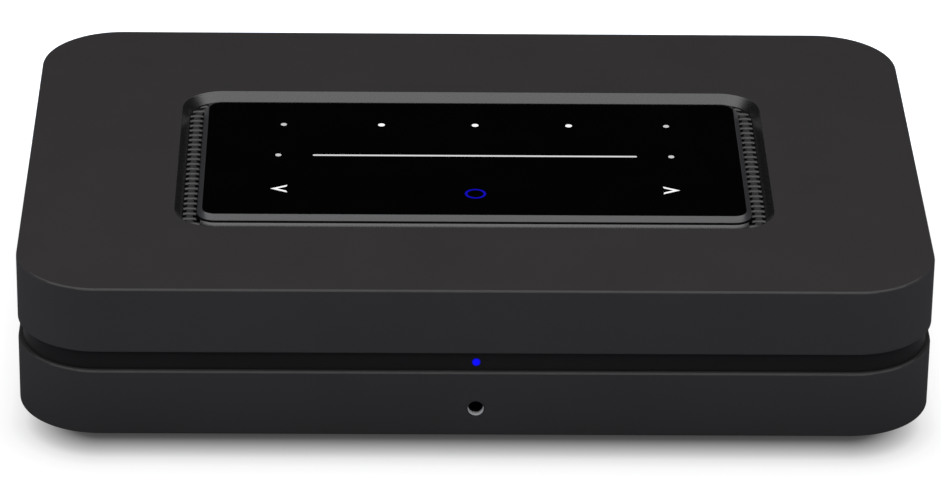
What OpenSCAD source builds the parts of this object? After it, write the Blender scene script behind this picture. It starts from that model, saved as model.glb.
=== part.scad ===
// Network music streamer: two stacked moulded blocks with a recessed dark band between them,
// a touch panel sunk in the roof, a base plate on rubber feet and a rear panel of sockets.
// Millimetres. The front is -Y, up is +Z, and the origin is on the table under the body's centre.

/* [Body] */
// Width of both blocks, side to side
body_w = 220; // [208:1:250]
// Depth of both blocks, front to back
body_d = 146; // [138:1:170]
// Radius of the upright corners
corner_r = 20; // [16:0.5:23]
// Height of the lower block
lower_h = 16.9; // [16:0.1:24]
// Height of the gap between the blocks
groove_h = 5.1; // [3.5:0.1:8]
// Height of the upper block
upper_h = 16.8; // [15.5:0.1:24]
// Thickness of the shells' side walls
wall = 2.8; // [2.4:0.1:3.2]
// Thickness of the lower shell's floor
floor_t = 2.6; // [2:0.1:3]
// Thickness of the upper shell's roof
roof_t = 2.6; // [2.2:0.1:3.4]
// How far the band lies behind the faces of the blocks
groove_depth = 1.2; // [1:0.1:2.3]
// Thickness of the band
band_t = 3.8; // [3.2:0.1:4.6]
// Chamfer along the upper edges of the blocks
edge = 0.6; // [0.3:0.1:1]
// Chamfer along the lower edges of the blocks
low_edge = 0.3; // [0.2:0.1:0.8]

/* [Base] */
// Height of the rubber feet under the base plate
foot_h = 4.2; // [3:0.1:8]
// Diameter of a foot
foot_d = 17; // [12:0.5:20]
// Thickness of the base plate
plinth_h = 3; // [2.8:0.1:6]
// How far the base plate lies inside the body's outline
plinth_inset = 15; // [10:0.5:17]
// How far the feet lie inside the base plate's outline
foot_in = 20; // [18:0.5:26]
// How far the case screws lie inside the body's outline
post_in = 22; // [21:0.5:24]

/* [Touch panel] */
// Width of the opening in the roof
opening_w = 146.2; // [140:0.1:160]
// Depth of the opening in the roof
opening_d = 76.6; // [74:0.1:84]
// Where the panel's centre lies, front to back
panel_y = -1.4; // [-6:0.1:4]
// Gap between the opening's edge and the panel
panel_gap = 5.5; // [5:0.1:7]
// How far the opening's sloping sides run inwards
bevel_run = 1.8; // [1.5:0.1:2.4]
// Depth of the recess round the panel
recess_depth = 2.35; // [1.8:0.05:2.5]
// Corner radius of the panel's frame
panel_r = 4.5; // [3.5:0.1:7]
// Chamfer round the top of the panel's frame
bezel_edge = 1.1; // [0.6:0.1:1.6]
// Thickness of the glass
glass_t = 1.6; // [1.1:0.1:2.2]
// Spacing of the vent ribs
vent_pitch = 2.75; // [2:0.05:4]
// Width of a vent rib
vent_rib = 1.3; // [0.8:0.1:1.6]

/* [Front] */
// Height of the headphone socket over the body's bottom
jack_up = 7.2; // [6.9:0.1:9]
// Bore of the 3.5 mm sockets
jack_bore_d = 3.6; // [3.5:0.05:3.8]
// Diameter of the status light
led_d = 2; // [1.6:0.05:2.6]
// Gap between the lower block and the status light
led_gap = 1.2; // [0.2:0.1:2]

/* [Rear] */
// How far the rear panel lies inside the rear face of the blocks
rear_recess = 8.3; // [7:0.1:11]
// Thickness of the rear panel
rear_t = 2; // [1.2:0.1:3]
// Gap between neighbouring sockets
socket_gap = 1.8; // [1:0.1:1.9]
// Outer diameter of a phono socket's sleeve
rca_d = 8.3; // [8:0.05:8.6]
// How far a phono socket stands out of the rear panel
rca_reach = 8; // [6:0.1:8.2]
// Height between a pair of phono sockets
rca_pitch = 13; // [11:0.1:14]

/* [Boards] */
// Thickness of the circuit boards
board_t = 1.6; // [1:0.1:2]
// Height of the pillars under the boards
standoff_h = 3.6; // [3:0.1:4.6]
// Width of the main board
main_w = 113; // [112.5:0.5:118]
// Depth of the main board and the power board
main_d = 100; // [94:0.5:103]

/* [Hidden] */
$fn = 64;

// Shared clearances, and the overshoot of a cut past the face it opens
fit = 0.2;
thread_gap = 0.05;
over = 1;
sink = 0.4;
SIDES = [-1, 1];
CORNERS = [for (sx = SIDES, sy = SIDES) [sx, sy]];

// Levels, from the table up
body_z = foot_h + plinth_h;
floor_z = body_z + floor_t;
lower_top = body_z + lower_h;
upper_z = lower_top + groove_h;
top_z = upper_z + upper_h;
roof_z = top_z - roof_t;
board_z = floor_z + standoff_h;
board_top = board_z + board_t;
recess_z = top_z - recess_depth;
pan_t = 2.4;
pan_z = recess_z - pan_t;

// Inside of the shells
inner_w = body_w - 2 * wall;
inner_d = body_d - 2 * wall;
inner_r = corner_r - wall;
front_y = -body_d / 2;
front_in = front_y + wall;
rear_in = body_d / 2 - wall;
panel_out = body_d / 2 - rear_recess;
panel_in = panel_out - rear_t;

// Case screws and the posts that they run in
post_x = body_w / 2 - post_in;
post_y = body_d / 2 - post_in;
post_d = 8.4;
case_d = 3;
case_head_d = 6;
case_head_h = 1.6;
case_recess = 1.9;
case_seat = foot_h + case_recess;
case_bite = 12;
case_end = lower_top + case_bite;
case_drive = 2.5;
case_drive_h = 0.9;

// Base plate and feet
plinth_w = body_w - 2 * plinth_inset;
plinth_d = body_d - 2 * plinth_inset;
plinth_r = 10;
plinth_edge = 0.5;
foot_x = plinth_w / 2 - foot_in;
foot_y = plinth_d / 2 - foot_in;
foot_edge = 0.8;
foot_stub_d = 8;
foot_stub_h = 1.8;

// Band between the blocks
band_w = body_w - 2 * groove_depth;
band_d = body_d - 2 * groove_depth;
band_r = corner_r - groove_depth;
band_lip = 2;
lip_gap = 0.15;

// Touch panel
panel_w = opening_w - 2 * panel_gap;
panel_d = opening_d - 2 * panel_gap;
opening_r = panel_r + panel_gap;
recess_w = opening_w - 2 * bevel_run;
recess_d = opening_d - 2 * bevel_run;
recess_r = opening_r - bevel_run;
cove_run = 2.4;
cove_rise = 0.75;
cove_w = panel_w + 2 * (fit + cove_run);
cove_d = panel_d + 2 * (fit + cove_run);
cove_r = panel_r + fit + cove_run;
pan_rim = 2.8;
bezel_rim = 0.15;
glass_gap = 0.1;
glass_w = panel_w - 2 * (bezel_edge + bezel_rim + glass_gap);
glass_d = panel_d - 2 * (bezel_edge + bezel_rim + glass_gap);
glass_r = panel_r - bezel_edge - bezel_rim - glass_gap;
glass_edge = 0.2;
glass_z = top_z - glass_t;
bezel_flange = 1.7;
bezel_z = pan_z - bezel_flange;
frame_w = 6.2;
window_w = panel_w - 2 * frame_w;
window_d = panel_d - 2 * frame_w;
window_r = 1.5;
touch_inset = 1.5;
touch_z = bezel_z - board_t;
tab_x = 40;
tab_w = 12;
tab_l = 6.5;
tab_hole = 3.6;

// Small screws that hold the panel and its board
touch_screw_d = 2;
touch_head_d = 3.6;
touch_head_h = 1.2;
touch_bite = 1.7;
touch_screw_in = 3.2;
touch_drive = 1.5;
touch_drive_h = 0.7;

// Places of the lights behind the glass, from the panel's centre
icon_x = 0.8;
icon_row_y = 18.8;
icon_inner_x = 23.55;
icon_outer_x = 48.1;
icon_side_x = 48.9;
icon_mid_y = 1.4;
volume_l = 80.7;
volume_lights = 9;
ring_y = -19.8;
arrow_x = 48.4;
arrow_y = -17.3;
led_w = 2.4;
led_t = 1;
led_well = 4.2;
ROW_XS = [-icon_outer_x, -icon_inner_x, 0, icon_inner_x, icon_outer_x];
ROW_LIGHTS = [for (x = ROW_XS) [icon_x + x, icon_row_y]];
SIDE_LIGHTS = [for (s = SIDES) [icon_x + s * icon_side_x, icon_mid_y]];
ARROW_LIGHTS = [for (s = SIDES) [icon_x + s * arrow_x, arrow_y]];
LONE_LIGHTS = concat(ROW_LIGHTS, SIDE_LIGHTS, ARROW_LIGHTS, [[icon_x, ring_y]]);
volume_step = volume_l / volume_lights;
volume_mid = (volume_lights - 1) / 2;
VOLUME_LIGHTS = [for (i = [0:volume_lights - 1]) [icon_x + (i - volume_mid) * volume_step, icon_mid_y]];

// Vents beside the panel
vent_gap = 0.1;
vent_land = 0.1;
vent_end = 1.3;
vent_skip = 2;
vent_in = panel_w / 2 - panel_r + vent_skip;
vent_edge = recess_w / 2 - vent_land;
vent_out = vent_edge - vent_gap;
vent_count = floor((recess_d - 2 * vent_end - vent_rib) / vent_pitch);
vent_l = vent_count * vent_pitch + vent_rib;
vent_rail = 2;
vent_rail_in = (vent_out - panel_w / 2 - fit - vent_rail) / 2;
vent_drop = 0.4;
vent_root = 0.7;
vent_foot_t = 1.4;
vent_foot_w = 3;
vent_bite = 0.5;

// Front board, behind the headphone socket
jack_z = body_z + jack_up;
led_z = lower_top + led_gap + led_d / 2;
jack_w = 11;
jack_h = 8;
jack_l = 13.8;
jack_nose_wall = 0.275;
jack_nose_d = jack_bore_d + 2 * jack_nose_wall;
jack_nose_gap = 0.1;
jack_depth = 13;
front_board_y = front_in + jack_l;
front_board_back = front_board_y + board_t;
front_board_w = 42;
front_board_h = 21;
front_post_x = 17;
front_post_w = 5;
front_post_d = 5;
front_post_h = 14;
front_screw_up = 9;
led_body_w = 3;
led_body_t = 1.6;
pipe_flange_d = 4.4;
pipe_flange_t = 0.8;
pipe_gap = 0.05;
receiver_x = 11;
receiver_w = 5.6;
receiver_h = 6.5;
receiver_t = 4;
receiver_dome_d = 4.5;

// Boards on the floor
board_gap = 3;
post_clear = 1.8;
rear_clear = 0.4;
main_x1 = post_x - post_d / 2 - post_clear;
main_x0 = main_x1 - main_w;
power_x0 = -main_x1;
power_x1 = main_x0 - board_gap;
power_w = power_x1 - power_x0;
power_x = (power_x0 + power_x1) / 2;
board_y1 = panel_in - rear_clear;
board_y0 = board_y1 - main_d;
standoff_d = 5.5;
standoff_in = 5;
standoff_back = 27;
board_screw_d = 2.5;
board_head_d = 4.6;
board_head_h = 1.6;
board_bite = 3;
board_drive = 2;
board_drive_h = 0.8;
BOARD_XS = [power_x0 + standoff_in, power_x1 - standoff_in, main_x0 + standoff_in, main_x1 - standoff_in];
BOARD_YS = [board_y0 + standoff_in, board_y1 - standoff_back];
BOARD_HOLES = [for (x = BOARD_XS, y = BOARD_YS) [x, y]];

// Sockets along the rear edge of the main board, each with its width, height and depth
ethernet_in = 0.5;
ethernet_w = 16;
ethernet_h = 13.4;
ethernet_l = 21;
ethernet_port_w = 11.8;
ethernet_port_h = 8.4;
ethernet_port_l = 14;
ethernet_sill = 2.2;
ethernet_latch_w = 6;
ethernet_latch_h = 1.2;
ethernet_pins = 8;
ethernet_pin_w = 0.5;
ethernet_pin_pitch = 1.02;
ethernet_pin_l = 10;
usb_w = 13.2;
usb_h = 5.9;
usb_l = 14;
usb_wall = 0.4;
usb_tongue_w = 11.2;
usb_tongue_t = 1.9;
usb_tongue_l = 9;
hdmi_w = 15;
hdmi_h = 5.9;
hdmi_l = 12;
hdmi_wall = 0.5;
hdmi_tongue_w = 11.6;
hdmi_tongue_t = 1.5;
hdmi_tongue_l = 8;
plug_back = 3;
rear_jack_w = 8;
rear_jack_h = 9;
rear_jack_l = 12;
rear_jack_up = 5;
rear_nose_d = 6;
rear_nose_out = 0.6;
rear_bore_l = 12;
optical_w = 10.4;
optical_h = 10.8;
optical_l = 16;
optical_out = 4.8;
rca_w = 14;
rca_l = 11;
rca_low = 7;
rca_over = 6.2;
rca_seat = 4;
rca_shoulder = 0.4;
rca_shoulder_d = rca_d + 2 * rca_shoulder;
rca_shoulder_out = 0.5;
rca_wall = 0.6;
rca_gap = 0.05;
rca_inset = 0.8;
rca_hole_d = 3.4;
rca_hole_l = 9;
rca_pin_l = 5;
rca_pin_wall = 0.35;
rca_h = rca_low + rca_pitch + rca_over;
ethernet_x = main_x1 - ethernet_in - ethernet_w / 2;
usb_x = ethernet_x - (ethernet_w + usb_w) / 2 - socket_gap;
hdmi_x = usb_x - (usb_w + hdmi_w) / 2 - socket_gap;
jack_a_x = hdmi_x - (hdmi_w + rear_jack_w) / 2 - socket_gap;
jack_b_x = jack_a_x - rear_jack_w - socket_gap;
optical_x = jack_b_x - (rear_jack_w + optical_w) / 2 - socket_gap;
rca_a_x = optical_x - (optical_w + rca_w) / 2 - socket_gap;
rca_b_x = rca_a_x - rca_w - socket_gap;
RCA_XS = [rca_a_x, rca_b_x];
RCA_ZS = [board_top + rca_low, board_top + rca_low + rca_pitch];
rca_root = panel_in - rca_seat;
rca_screw_z = board_top + rca_low + rca_pitch / 2;
rear_bite = 5.5;

// Optical socket and the sprung shutter in its mouth
port_w = 8.2;
port_low = 1.2;
port_high = 9.4;
port_l = 10;
mouth_w = 7.4;
mouth_low = 1.5;
mouth_high = 8.6;
mouth_t = 0.9;
hinge_back = 2.1;
hinge_drop = 1.25;
flap_w = 7.4;
flap_l = 6.6;
flap_t = 0.9;
flap_front = 1.05;
barrel_d = 1.9;
barrel_end = 1.9;
flap_notch = 1.4;
shutter_pin_d = 1;
shutter_gap = 0.06;
pin_seat_gap = 0.02;
pin_trim = 0.2;
spring_in = 0.62;
spring_out = 0.92;
spring_x0 = 2.2;
spring_x1 = 3.6;
spring_leg_l = 4;
spring_leg_d = 0.3;
optical_front = panel_out + optical_out;
hinge_y = optical_front - hinge_back;
hinge_z = board_top + port_high - hinge_drop;

// Mains inlet
inlet_w = 22;
inlet_h = 15.4;
inlet_l = 20;
inlet_port_r = 4;
inlet_port_x = 3.9;
inlet_port_l = 11.5;
inlet_pin_d = 2.4;
inlet_pin_x = 4.3;
inlet_pin_l = 9;
inlet_z = board_top + inlet_h / 2;

// Cut-out of the shells that the rear panel shows through
cut_in = 26;
cut_w = body_w - 2 * cut_in;
cut_sill = 1.8;
rear_lap = 1.8;
rear_w = cut_w + 2 * rear_lap;
rear_h = roof_z - fit - floor_z;
band_clear = 0.6;
band_open = rear_w + 2 * band_clear;

// Parts on the main board: the heatsink lies beside the capacitors and behind the wireless module
cap_d = 8;
cap_h = 12;
cap_in_x = 17;
cap_in_y = 41;
cap_x = main_x0 + cap_in_x;
cap_y = board_y0 + cap_in_y;
cap_step = 10;
cap_columns = 3;
cap_row = 12;
can_groove = 1;
module_in_x = 14;
module_in_y = 20;
module_x = main_x1 - module_in_x;
module_y = board_y0 + module_in_y;
module_w = 20;
module_d = 16;
module_t = 2.6;
coax_d = 2;
coax_h = 1;
coax_x = 5;
coax_y = 4;
sink_w = 42;
sink_beside = 5;
sink_behind = 1;
processor_x = cap_x + (cap_columns - 1) * cap_step + cap_d / 2 + sink_beside + sink_w / 2;
processor_y = module_y + module_d / 2 + sink_behind + sink_w / 2;
processor_w = 19;
processor_t = 1.6;
sink_base = 2;
sink_h = 11;
sink_fins = 9;
sink_fin_t = 1.2;
chip_t = 1.3;
chip_in = 13;
memory_w = 12;
memory_back = 8;
storage_w = 14;
storage_d = 12;
converter_w = 10;
converter_in = 23;
converter_back = 26;
amplifier_w = 5;
amplifier_d = 6;
amplifier_x = 9;
network_w = 9;
network_gap = 3;
antenna_l = 38;
antenna_h = 8;
antenna_t = 0.5;
antenna_y = -10;
antenna_up = 3;
antenna_z = upper_z + antenna_up;
lead_d = 1.2;
lead_out = 2;
lead_front = 5;
lead_feed = 9.5;
lead_over = 2;
lead_cut = 0.25;
lead_sides = 8;
lead_side = [1, 2, 3];
header_w = 6;
header_d = 10;
header_h = 6;
header_in = 6;
header_in_y = 22;
header_y = board_y0 + header_in_y;
wires = 4;
wire_d = 1.6;
wire_step = 2.2;
ribbon_w = 14;
ribbon_t = 0.3;
ribbon_x = 10;
ribbon_socket_w = 17;
ribbon_socket_d = 5;
ribbon_socket_h = 2;
ribbon_in = 18;
ribbon_y = board_y0 + ribbon_in;
link_in = 6;
link_y = board_y0 + link_in;
link_x = 0;

// Parts on the power board, from its middle line and its front edge
fuse_d = 8.5;
fuse_h = 8;
fuse_in = 77;
fuse_y = board_y0 + fuse_in;
film_w = 16;
film_d = 8;
film_h = 14;
film_x = -4.5;
film_in = 64;
film_y = board_y0 + film_in;
bulk_d = 13;
bulk_h = 21;
bulk_x = -10;
bulk_in = 46;
bulk_y = board_y0 + bulk_in;
choke_w = 13;
choke_h = 15;
choke_flange = 1.5;
choke_neck_d = 7;
choke_coil_d = 11.5;
choke_coil_gap = 2.2;
choke_x = 10.5;
choke_in = 60;
choke_y = board_y0 + choke_in;
core_w = 20;
core_d = 20;
core_h = 18;
core_t = 5;
core_x = 7;
core_in = 40;
core_y = board_y0 + core_in;
coil_gap = 0.3;
output_d = 8;
output_h = 14;
OUTPUT_XS = [-6, 3.5];
output_in = 18;
output_y = board_y0 + output_in;

// Shapes that several pieces share

module rounded_rect(w, d, r) {
    square([w - 2 * r, d], center = true);
    square([w, d - 2 * r], center = true);
    for (c = CORNERS)
        translate([c.x * (w / 2 - r), c.y * (d / 2 - r)])
            circle(r = r);
}

module rounded_prism(w, d, h, r) {
    linear_extrude(height = h)
        rounded_rect(w, d, r);
}

// A rounded block whose sides lean in by run on the way up
module leaning_prism(w, d, h, r, run) {
    rotate([90, 0, 0])
        linear_extrude(height = d - 2 * r, center = true)
            polygon([[-w / 2, 0], [w / 2, 0], [w / 2 - run, h], [run - w / 2, h]]);
    rotate([90, 0, 90])
        linear_extrude(height = w - 2 * r, center = true)
            polygon([[-d / 2, 0], [d / 2, 0], [d / 2 - run, h], [run - d / 2, h]]);
    for (i = [0:3])
        translate([(i == 0 || i == 3 ? 1 : -1) * (w / 2 - r), (i < 2 ? 1 : -1) * (d / 2 - r), 0])
            rotate([0, 0, 90 * i])
                rotate_extrude(angle = 90)
                    polygon([[0, 0], [r, 0], [r - run, h], [0, h]]);
}

module chamfered_prism(w, d, h, r, low, high) {
    translate([0, 0, low])
        rounded_prism(w, d, h - low - high, r);
    if (low > 0)
        translate([0, 0, low])
            mirror([0, 0, 1])
                leaning_prism(w, d, low, r, low);
    if (high > 0)
        translate([0, 0, h - high])
            leaning_prism(w, d, high, r, high);
}

module at_posts() {
    for (c = CORNERS)
        translate([c.x * post_x, c.y * post_y, 0])
            children();
}

// A box by its middle in X, its near face in Y and its underside in Z
module block(x, y, z, w, d, h) {
    translate([x - w / 2, y, z])
        cube([w, d, h]);
}

// A round bar or hole along +Y
module along_y(x, y, z, l, d) {
    translate([x, y, z])
        rotate([-90, 0, 0])
            cylinder(h = l, d = d);
}

// A screw that points up, with its head under z = 0
module screw(shank_d, l, head_d, head_h, drive, drive_h) {
    difference() {
        rotate_extrude()
            polygon([[0, -head_h], [head_d / 2, -head_h], [head_d / 2, 0], [shank_d / 2, 0],
                [shank_d / 2, l], [0, l]]);
        translate([0, 0, -head_h - over])
            cylinder(h = drive_h + over, d = drive, $fn = 6);
    }
}

module board_screw() {
    screw(board_screw_d, board_t + board_bite, board_head_d, board_head_h,
        board_drive, board_drive_h);
}

module touch_screw(l) {
    screw(touch_screw_d, l, touch_head_d, touch_head_h, touch_drive, touch_drive_h);
}

// One step of rounding a route: each corner is cut off at a share of its two runs
function rounded_route(p) = concat([p[0]],
    [for (i = [0:len(p) - 2], t = [lead_cut, 1 - lead_cut]) p[i] + t * (p[i + 1] - p[i])],
    [p[len(p) - 1]]);

function unit(v) = v / norm(v);

// The direction of a route at one of its points
function heading(p, i) = unit(p[min(i + 1, len(p) - 1)] - p[max(i - 1, 0)]);

// The points of one ring of a tube, square to the route
function tube_ring(p, i, r) =
    let (along = heading(p, i), side = unit(cross(along, lead_side)), up = cross(along, side))
    [for (k = [0:lead_sides - 1])
        let (turn = k * 360 / lead_sides)
        p[i] + r * (cos(turn) * side + sin(turn) * up)];

// A thin cable along a route, as one closed tube
module cable(route, d) {
    n = lead_sides;
    points = [for (i = [0:len(route) - 1]) each tube_ring(route, i, d / 2)];
    last = (len(route) - 1) * n;
    walls = [for (i = [0:len(route) - 2], k = [0:n - 1])
        each [[i * n + k, i * n + (k + 1) % n, (i + 1) * n + k],
            [i * n + (k + 1) % n, (i + 1) * n + (k + 1) % n, (i + 1) * n + k]]];
    ends = [[for (k = [n - 1:-1:0]) k], [for (k = [0:n - 1]) last + k]];
    polyhedron(points, concat(walls, ends));
}

// A can capacitor with the rolled groove round its neck
module capacitor_can(d, h) {
    r = d / 2;
    half = can_groove / 2;
    rotate_extrude()
        polygon([[0, 0], [r, 0], [r, can_groove], [r - half, can_groove + half], [r, 2 * can_groove],
            [r, h - half], [r - half, h], [0, h]]);
}

// Shells, band, base and feet

module lower_shell() color("#2b2b2d") difference() {
    union() {
        difference() {
            translate([0, 0, body_z])
                chamfered_prism(body_w, body_d, lower_h, corner_r, low_edge, edge);
            translate([0, 0, floor_z])
                rounded_prism(inner_w, inner_d, lower_h, inner_r);
        }
        at_posts()
            translate([0, 0, floor_z - sink])
                cylinder(h = lower_top - floor_z + sink, d = post_d);
        for (s = SIDES)
            block(s * front_post_x, front_board_back, floor_z - sink,
                front_post_w, front_post_d, front_post_h + sink);
    }
    at_posts()
        translate([0, 0, body_z - over])
            cylinder(h = lower_h + 2 * over, d = case_d + 2 * fit);
    along_y(0, front_y - over, jack_z, wall + 2 * over, jack_nose_d + 2 * jack_nose_gap);
    for (s = SIDES)
        along_y(s * front_post_x, front_board_back - over, floor_z + front_screw_up,
            board_bite + fit + over, board_screw_d + 2 * thread_gap);
    block(0, rear_in - over, floor_z + cut_sill, cut_w, wall + 2 * over, lower_h);
}

module upper_shell() color("#333335") difference() {
    union() {
        difference() {
            union() {
                difference() {
                    translate([0, 0, upper_z])
                        chamfered_prism(body_w, body_d, upper_h, corner_r, low_edge, edge);
                    translate([0, 0, upper_z - over])
                        rounded_prism(inner_w, inner_d, upper_h - roof_t + over, inner_r);
                }
                translate([0, panel_y, pan_z])
                    rounded_prism(opening_w + 2 * pan_rim, opening_d + 2 * pan_rim,
                        roof_z - pan_z + sink, opening_r + pan_rim);
            }
            translate([0, panel_y, top_z])
                mirror([0, 0, 1])
                    leaning_prism(opening_w, opening_d, recess_depth, opening_r, bevel_run);
            translate([0, panel_y, top_z])
                rounded_prism(opening_w, opening_d, over, opening_r);
        }
        translate([0, panel_y, recess_z - sink])
            intersection() {
                leaning_prism(cove_w, cove_d, cove_rise + sink, cove_r, cove_run);
                block(0, -cove_d / 2, 0, 2 * vent_in, cove_d, cove_rise + sink);
            }
        at_posts()
            translate([0, 0, lower_top])
                cylinder(h = roof_z - lower_top + sink, d = post_d);
    }
    translate([0, panel_y, pan_z - over])
        panel_room(fit, pan_t + cove_rise + 2 * over);
    for (s = SIDES)
        translate([0, panel_y, pan_z - over])
            intersection() {
                vent_room(vent_land, pan_t + cove_rise + 2 * over);
                block(s * (vent_in + vent_edge) / 2, -vent_l / 2 - fit, 0,
                    vent_edge - vent_in, vent_l + 2 * fit, pan_t + cove_rise + 2 * over);
            }
    at_posts()
        translate([0, 0, lower_top - over])
            cylinder(h = case_bite + fit + over, d = case_d + 2 * thread_gap);
    at_tabs()
        translate([0, 0, pan_z - over])
            cylinder(h = touch_bite + fit + over, d = touch_screw_d + 2 * thread_gap);
    block(0, rear_in - over, upper_z - over, cut_w, wall + 2 * over, roof_z - cut_sill - upper_z + over);
}

module centre_band() color("#141416") difference() {
    union() {
        translate([0, 0, lower_top])
            rounded_prism(band_w, band_d, groove_h, band_r);
        translate([0, 0, lower_top - band_lip])
            rounded_prism(inner_w - 2 * lip_gap, inner_d - 2 * lip_gap, groove_h + 2 * band_lip,
                inner_r - lip_gap);
    }
    translate([0, 0, lower_top - band_lip - over])
        rounded_prism(band_w - 2 * band_t, band_d - 2 * band_t, groove_h + 2 * (band_lip + over),
            band_r - band_t);
    block(0, 0, lower_top - band_lip - over, band_open, body_d, groove_h + 2 * (band_lip + over));
    along_y(0, front_y, led_z, groove_depth + band_t + over, led_d + 2 * pipe_gap);
}

module base_plate() color("#1c1c1e") difference() {
    translate([0, 0, foot_h])
        chamfered_prism(plinth_w, plinth_d, plinth_h, plinth_r, plinth_edge, 0);
    at_posts()
        translate([0, 0, foot_h - over])
            cylinder(h = plinth_h + 2 * over, d = case_d + 2 * fit);
    at_posts()
        translate([0, 0, foot_h - over])
            cylinder(h = case_seat - foot_h + over, d = case_head_d + 2 * fit);
    at_feet()
        translate([0, 0, foot_h - over])
            cylinder(h = foot_stub_h + fit + over, d = foot_stub_d + 2 * fit);
}

module at_feet() {
    for (c = CORNERS)
        translate([c.x * foot_x, c.y * foot_y, 0])
            children();
}

module feet() color("#202022") at_feet()
    rotate_extrude()
        polygon([[0, 0], [foot_d / 2 - foot_edge, 0], [foot_d / 2, foot_edge], [foot_d / 2, foot_h],
            [foot_stub_d / 2, foot_h], [foot_stub_d / 2, foot_h + foot_stub_h],
            [0, foot_h + foot_stub_h]]);

module case_screws() color("#3a3a3c") at_posts()
    translate([0, 0, case_seat])
        screw(case_d, case_end - case_seat, case_head_d, case_head_h, case_drive, case_drive_h);

// Rear panel

// A plate with a return at each end that reaches the inside of the rear walls
module rear_panel() color("#1b1b1d") difference() {
    union() {
        block(0, panel_in, floor_z, rear_w, rear_t, rear_h);
        for (s = SIDES)
            block(s * (cut_w + rear_lap) / 2, panel_in, floor_z, rear_lap, rear_in - panel_in, rear_h);
    }
    socket_hole(ethernet_x, board_top, ethernet_w, ethernet_h);
    socket_hole(usb_x, board_top, usb_w, usb_h);
    socket_hole(hdmi_x, board_top, hdmi_w, hdmi_h);
    socket_hole(optical_x, board_top, optical_w, optical_h);
    socket_hole(power_x, board_top, inlet_w, inlet_h);
    for (x = [jack_a_x, jack_b_x])
        along_y(x, panel_in - over, board_top + rear_jack_up, rear_t + 2 * over, rear_nose_d + 2 * fit);
    for (x = RCA_XS, z = RCA_ZS)
        along_y(x, panel_in - over, z, rear_t + 2 * over, rca_shoulder_d + 2 * fit);
    for (x = RCA_XS)
        along_y(x, panel_in - over, rca_screw_z, rear_t + 2 * over, touch_screw_d + 2 * fit);
}

module socket_hole(x, z, w, h) {
    block(x, panel_in - over, z - fit, w + 2 * fit, rear_t + 2 * over, h + 2 * fit);
}

module rear_panel_screws() color("#4a4a4c")
    for (x = RCA_XS)
        translate([x, panel_out, rca_screw_z])
            rotate([90, 0, 0])
                touch_screw(rear_t + rear_bite);

// Touch panel

module at_tabs() {
    for (c = CORNERS)
        translate([c.x * tab_x, panel_y + c.y * (panel_d / 2 + tab_hole), 0])
            children();
}

module at_touch_corners() {
    x = panel_w / 2 - touch_screw_in;
    y = panel_d / 2 - touch_screw_in;
    for (c = CORNERS)
        translate([c.x * x, panel_y + c.y * y, 0])
            children();
}

module touch_bezel() color("#4a4a4d") difference() {
    union() {
        translate([0, panel_y, bezel_z])
            chamfered_prism(panel_w, panel_d, top_z - bezel_z, panel_r, 0, bezel_edge);
        for (s = SIDES)
            translate([s * tab_x - tab_w / 2, panel_y - panel_d / 2 - tab_l, bezel_z])
                cube([tab_w, panel_d + 2 * tab_l, bezel_flange]);
    }
    translate([0, panel_y, glass_z])
        rounded_prism(glass_w + 2 * glass_gap, glass_d + 2 * glass_gap, glass_t + over,
            glass_r + glass_gap);
    translate([0, panel_y, bezel_z - over])
        rounded_prism(window_w, window_d, top_z - bezel_z, window_r);
    at_tabs()
        translate([0, 0, bezel_z - over])
            cylinder(h = bezel_flange + 2 * over, d = touch_screw_d + 2 * fit);
    at_touch_corners()
        translate([0, 0, bezel_z - over])
            cylinder(h = touch_bite + fit + over, d = touch_screw_d + 2 * thread_gap);
}

module touch_glass() color("#050506")
    translate([0, panel_y, glass_z])
        chamfered_prism(glass_w, glass_d, glass_t, glass_r, 0, glass_edge);

module light_guide() color("#e8e8e8") difference() {
    translate([0, panel_y, bezel_z])
        rounded_prism(window_w - 2 * fit, window_d - 2 * fit, glass_z - bezel_z, window_r);
    for (p = LONE_LIGHTS)
        translate([p.x, panel_y + p.y, bezel_z - over])
            cylinder(h = glass_z - bezel_z + 2 * over, d = led_well);
    translate([icon_x - (volume_l + led_well) / 2, panel_y + icon_mid_y - led_well / 2, bezel_z - over])
        cube([volume_l + led_well / 2, led_well, glass_z - bezel_z + 2 * over]);
}

module touch_board() color("#1f4d2e") difference() {
    translate([0, panel_y, touch_z])
        rounded_prism(panel_w - 2 * touch_inset, panel_d - 2 * touch_inset, board_t, window_r);
    at_touch_corners()
        translate([0, 0, touch_z - over])
            cylinder(h = board_t + 2 * over, d = touch_screw_d + 2 * fit);
}

module touch_leds() color("#f2f2ea")
    for (p = concat(LONE_LIGHTS, VOLUME_LIGHTS))
        translate([p.x - led_w / 2, panel_y + p.y - led_w / 2, bezel_z])
            cube([led_w, led_w, led_t]);

module touch_screws() color("#8c8c90") {
    at_tabs()
        translate([0, 0, bezel_z])
            touch_screw(bezel_flange + touch_bite);
    at_touch_corners()
        translate([0, 0, touch_z])
            touch_screw(board_t + touch_bite);
}

// The floor of the recess, less a margin at the foot of its sloping sides
module vent_room(margin, h) {
    rounded_prism(recess_w - 2 * margin, recess_d - 2 * margin, h, recess_r - margin);
}

// The panel's outline, grown by a margin
module panel_room(margin, h) {
    rounded_prism(panel_w + 2 * margin, panel_d + 2 * margin, h, panel_r + margin);
}

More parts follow.
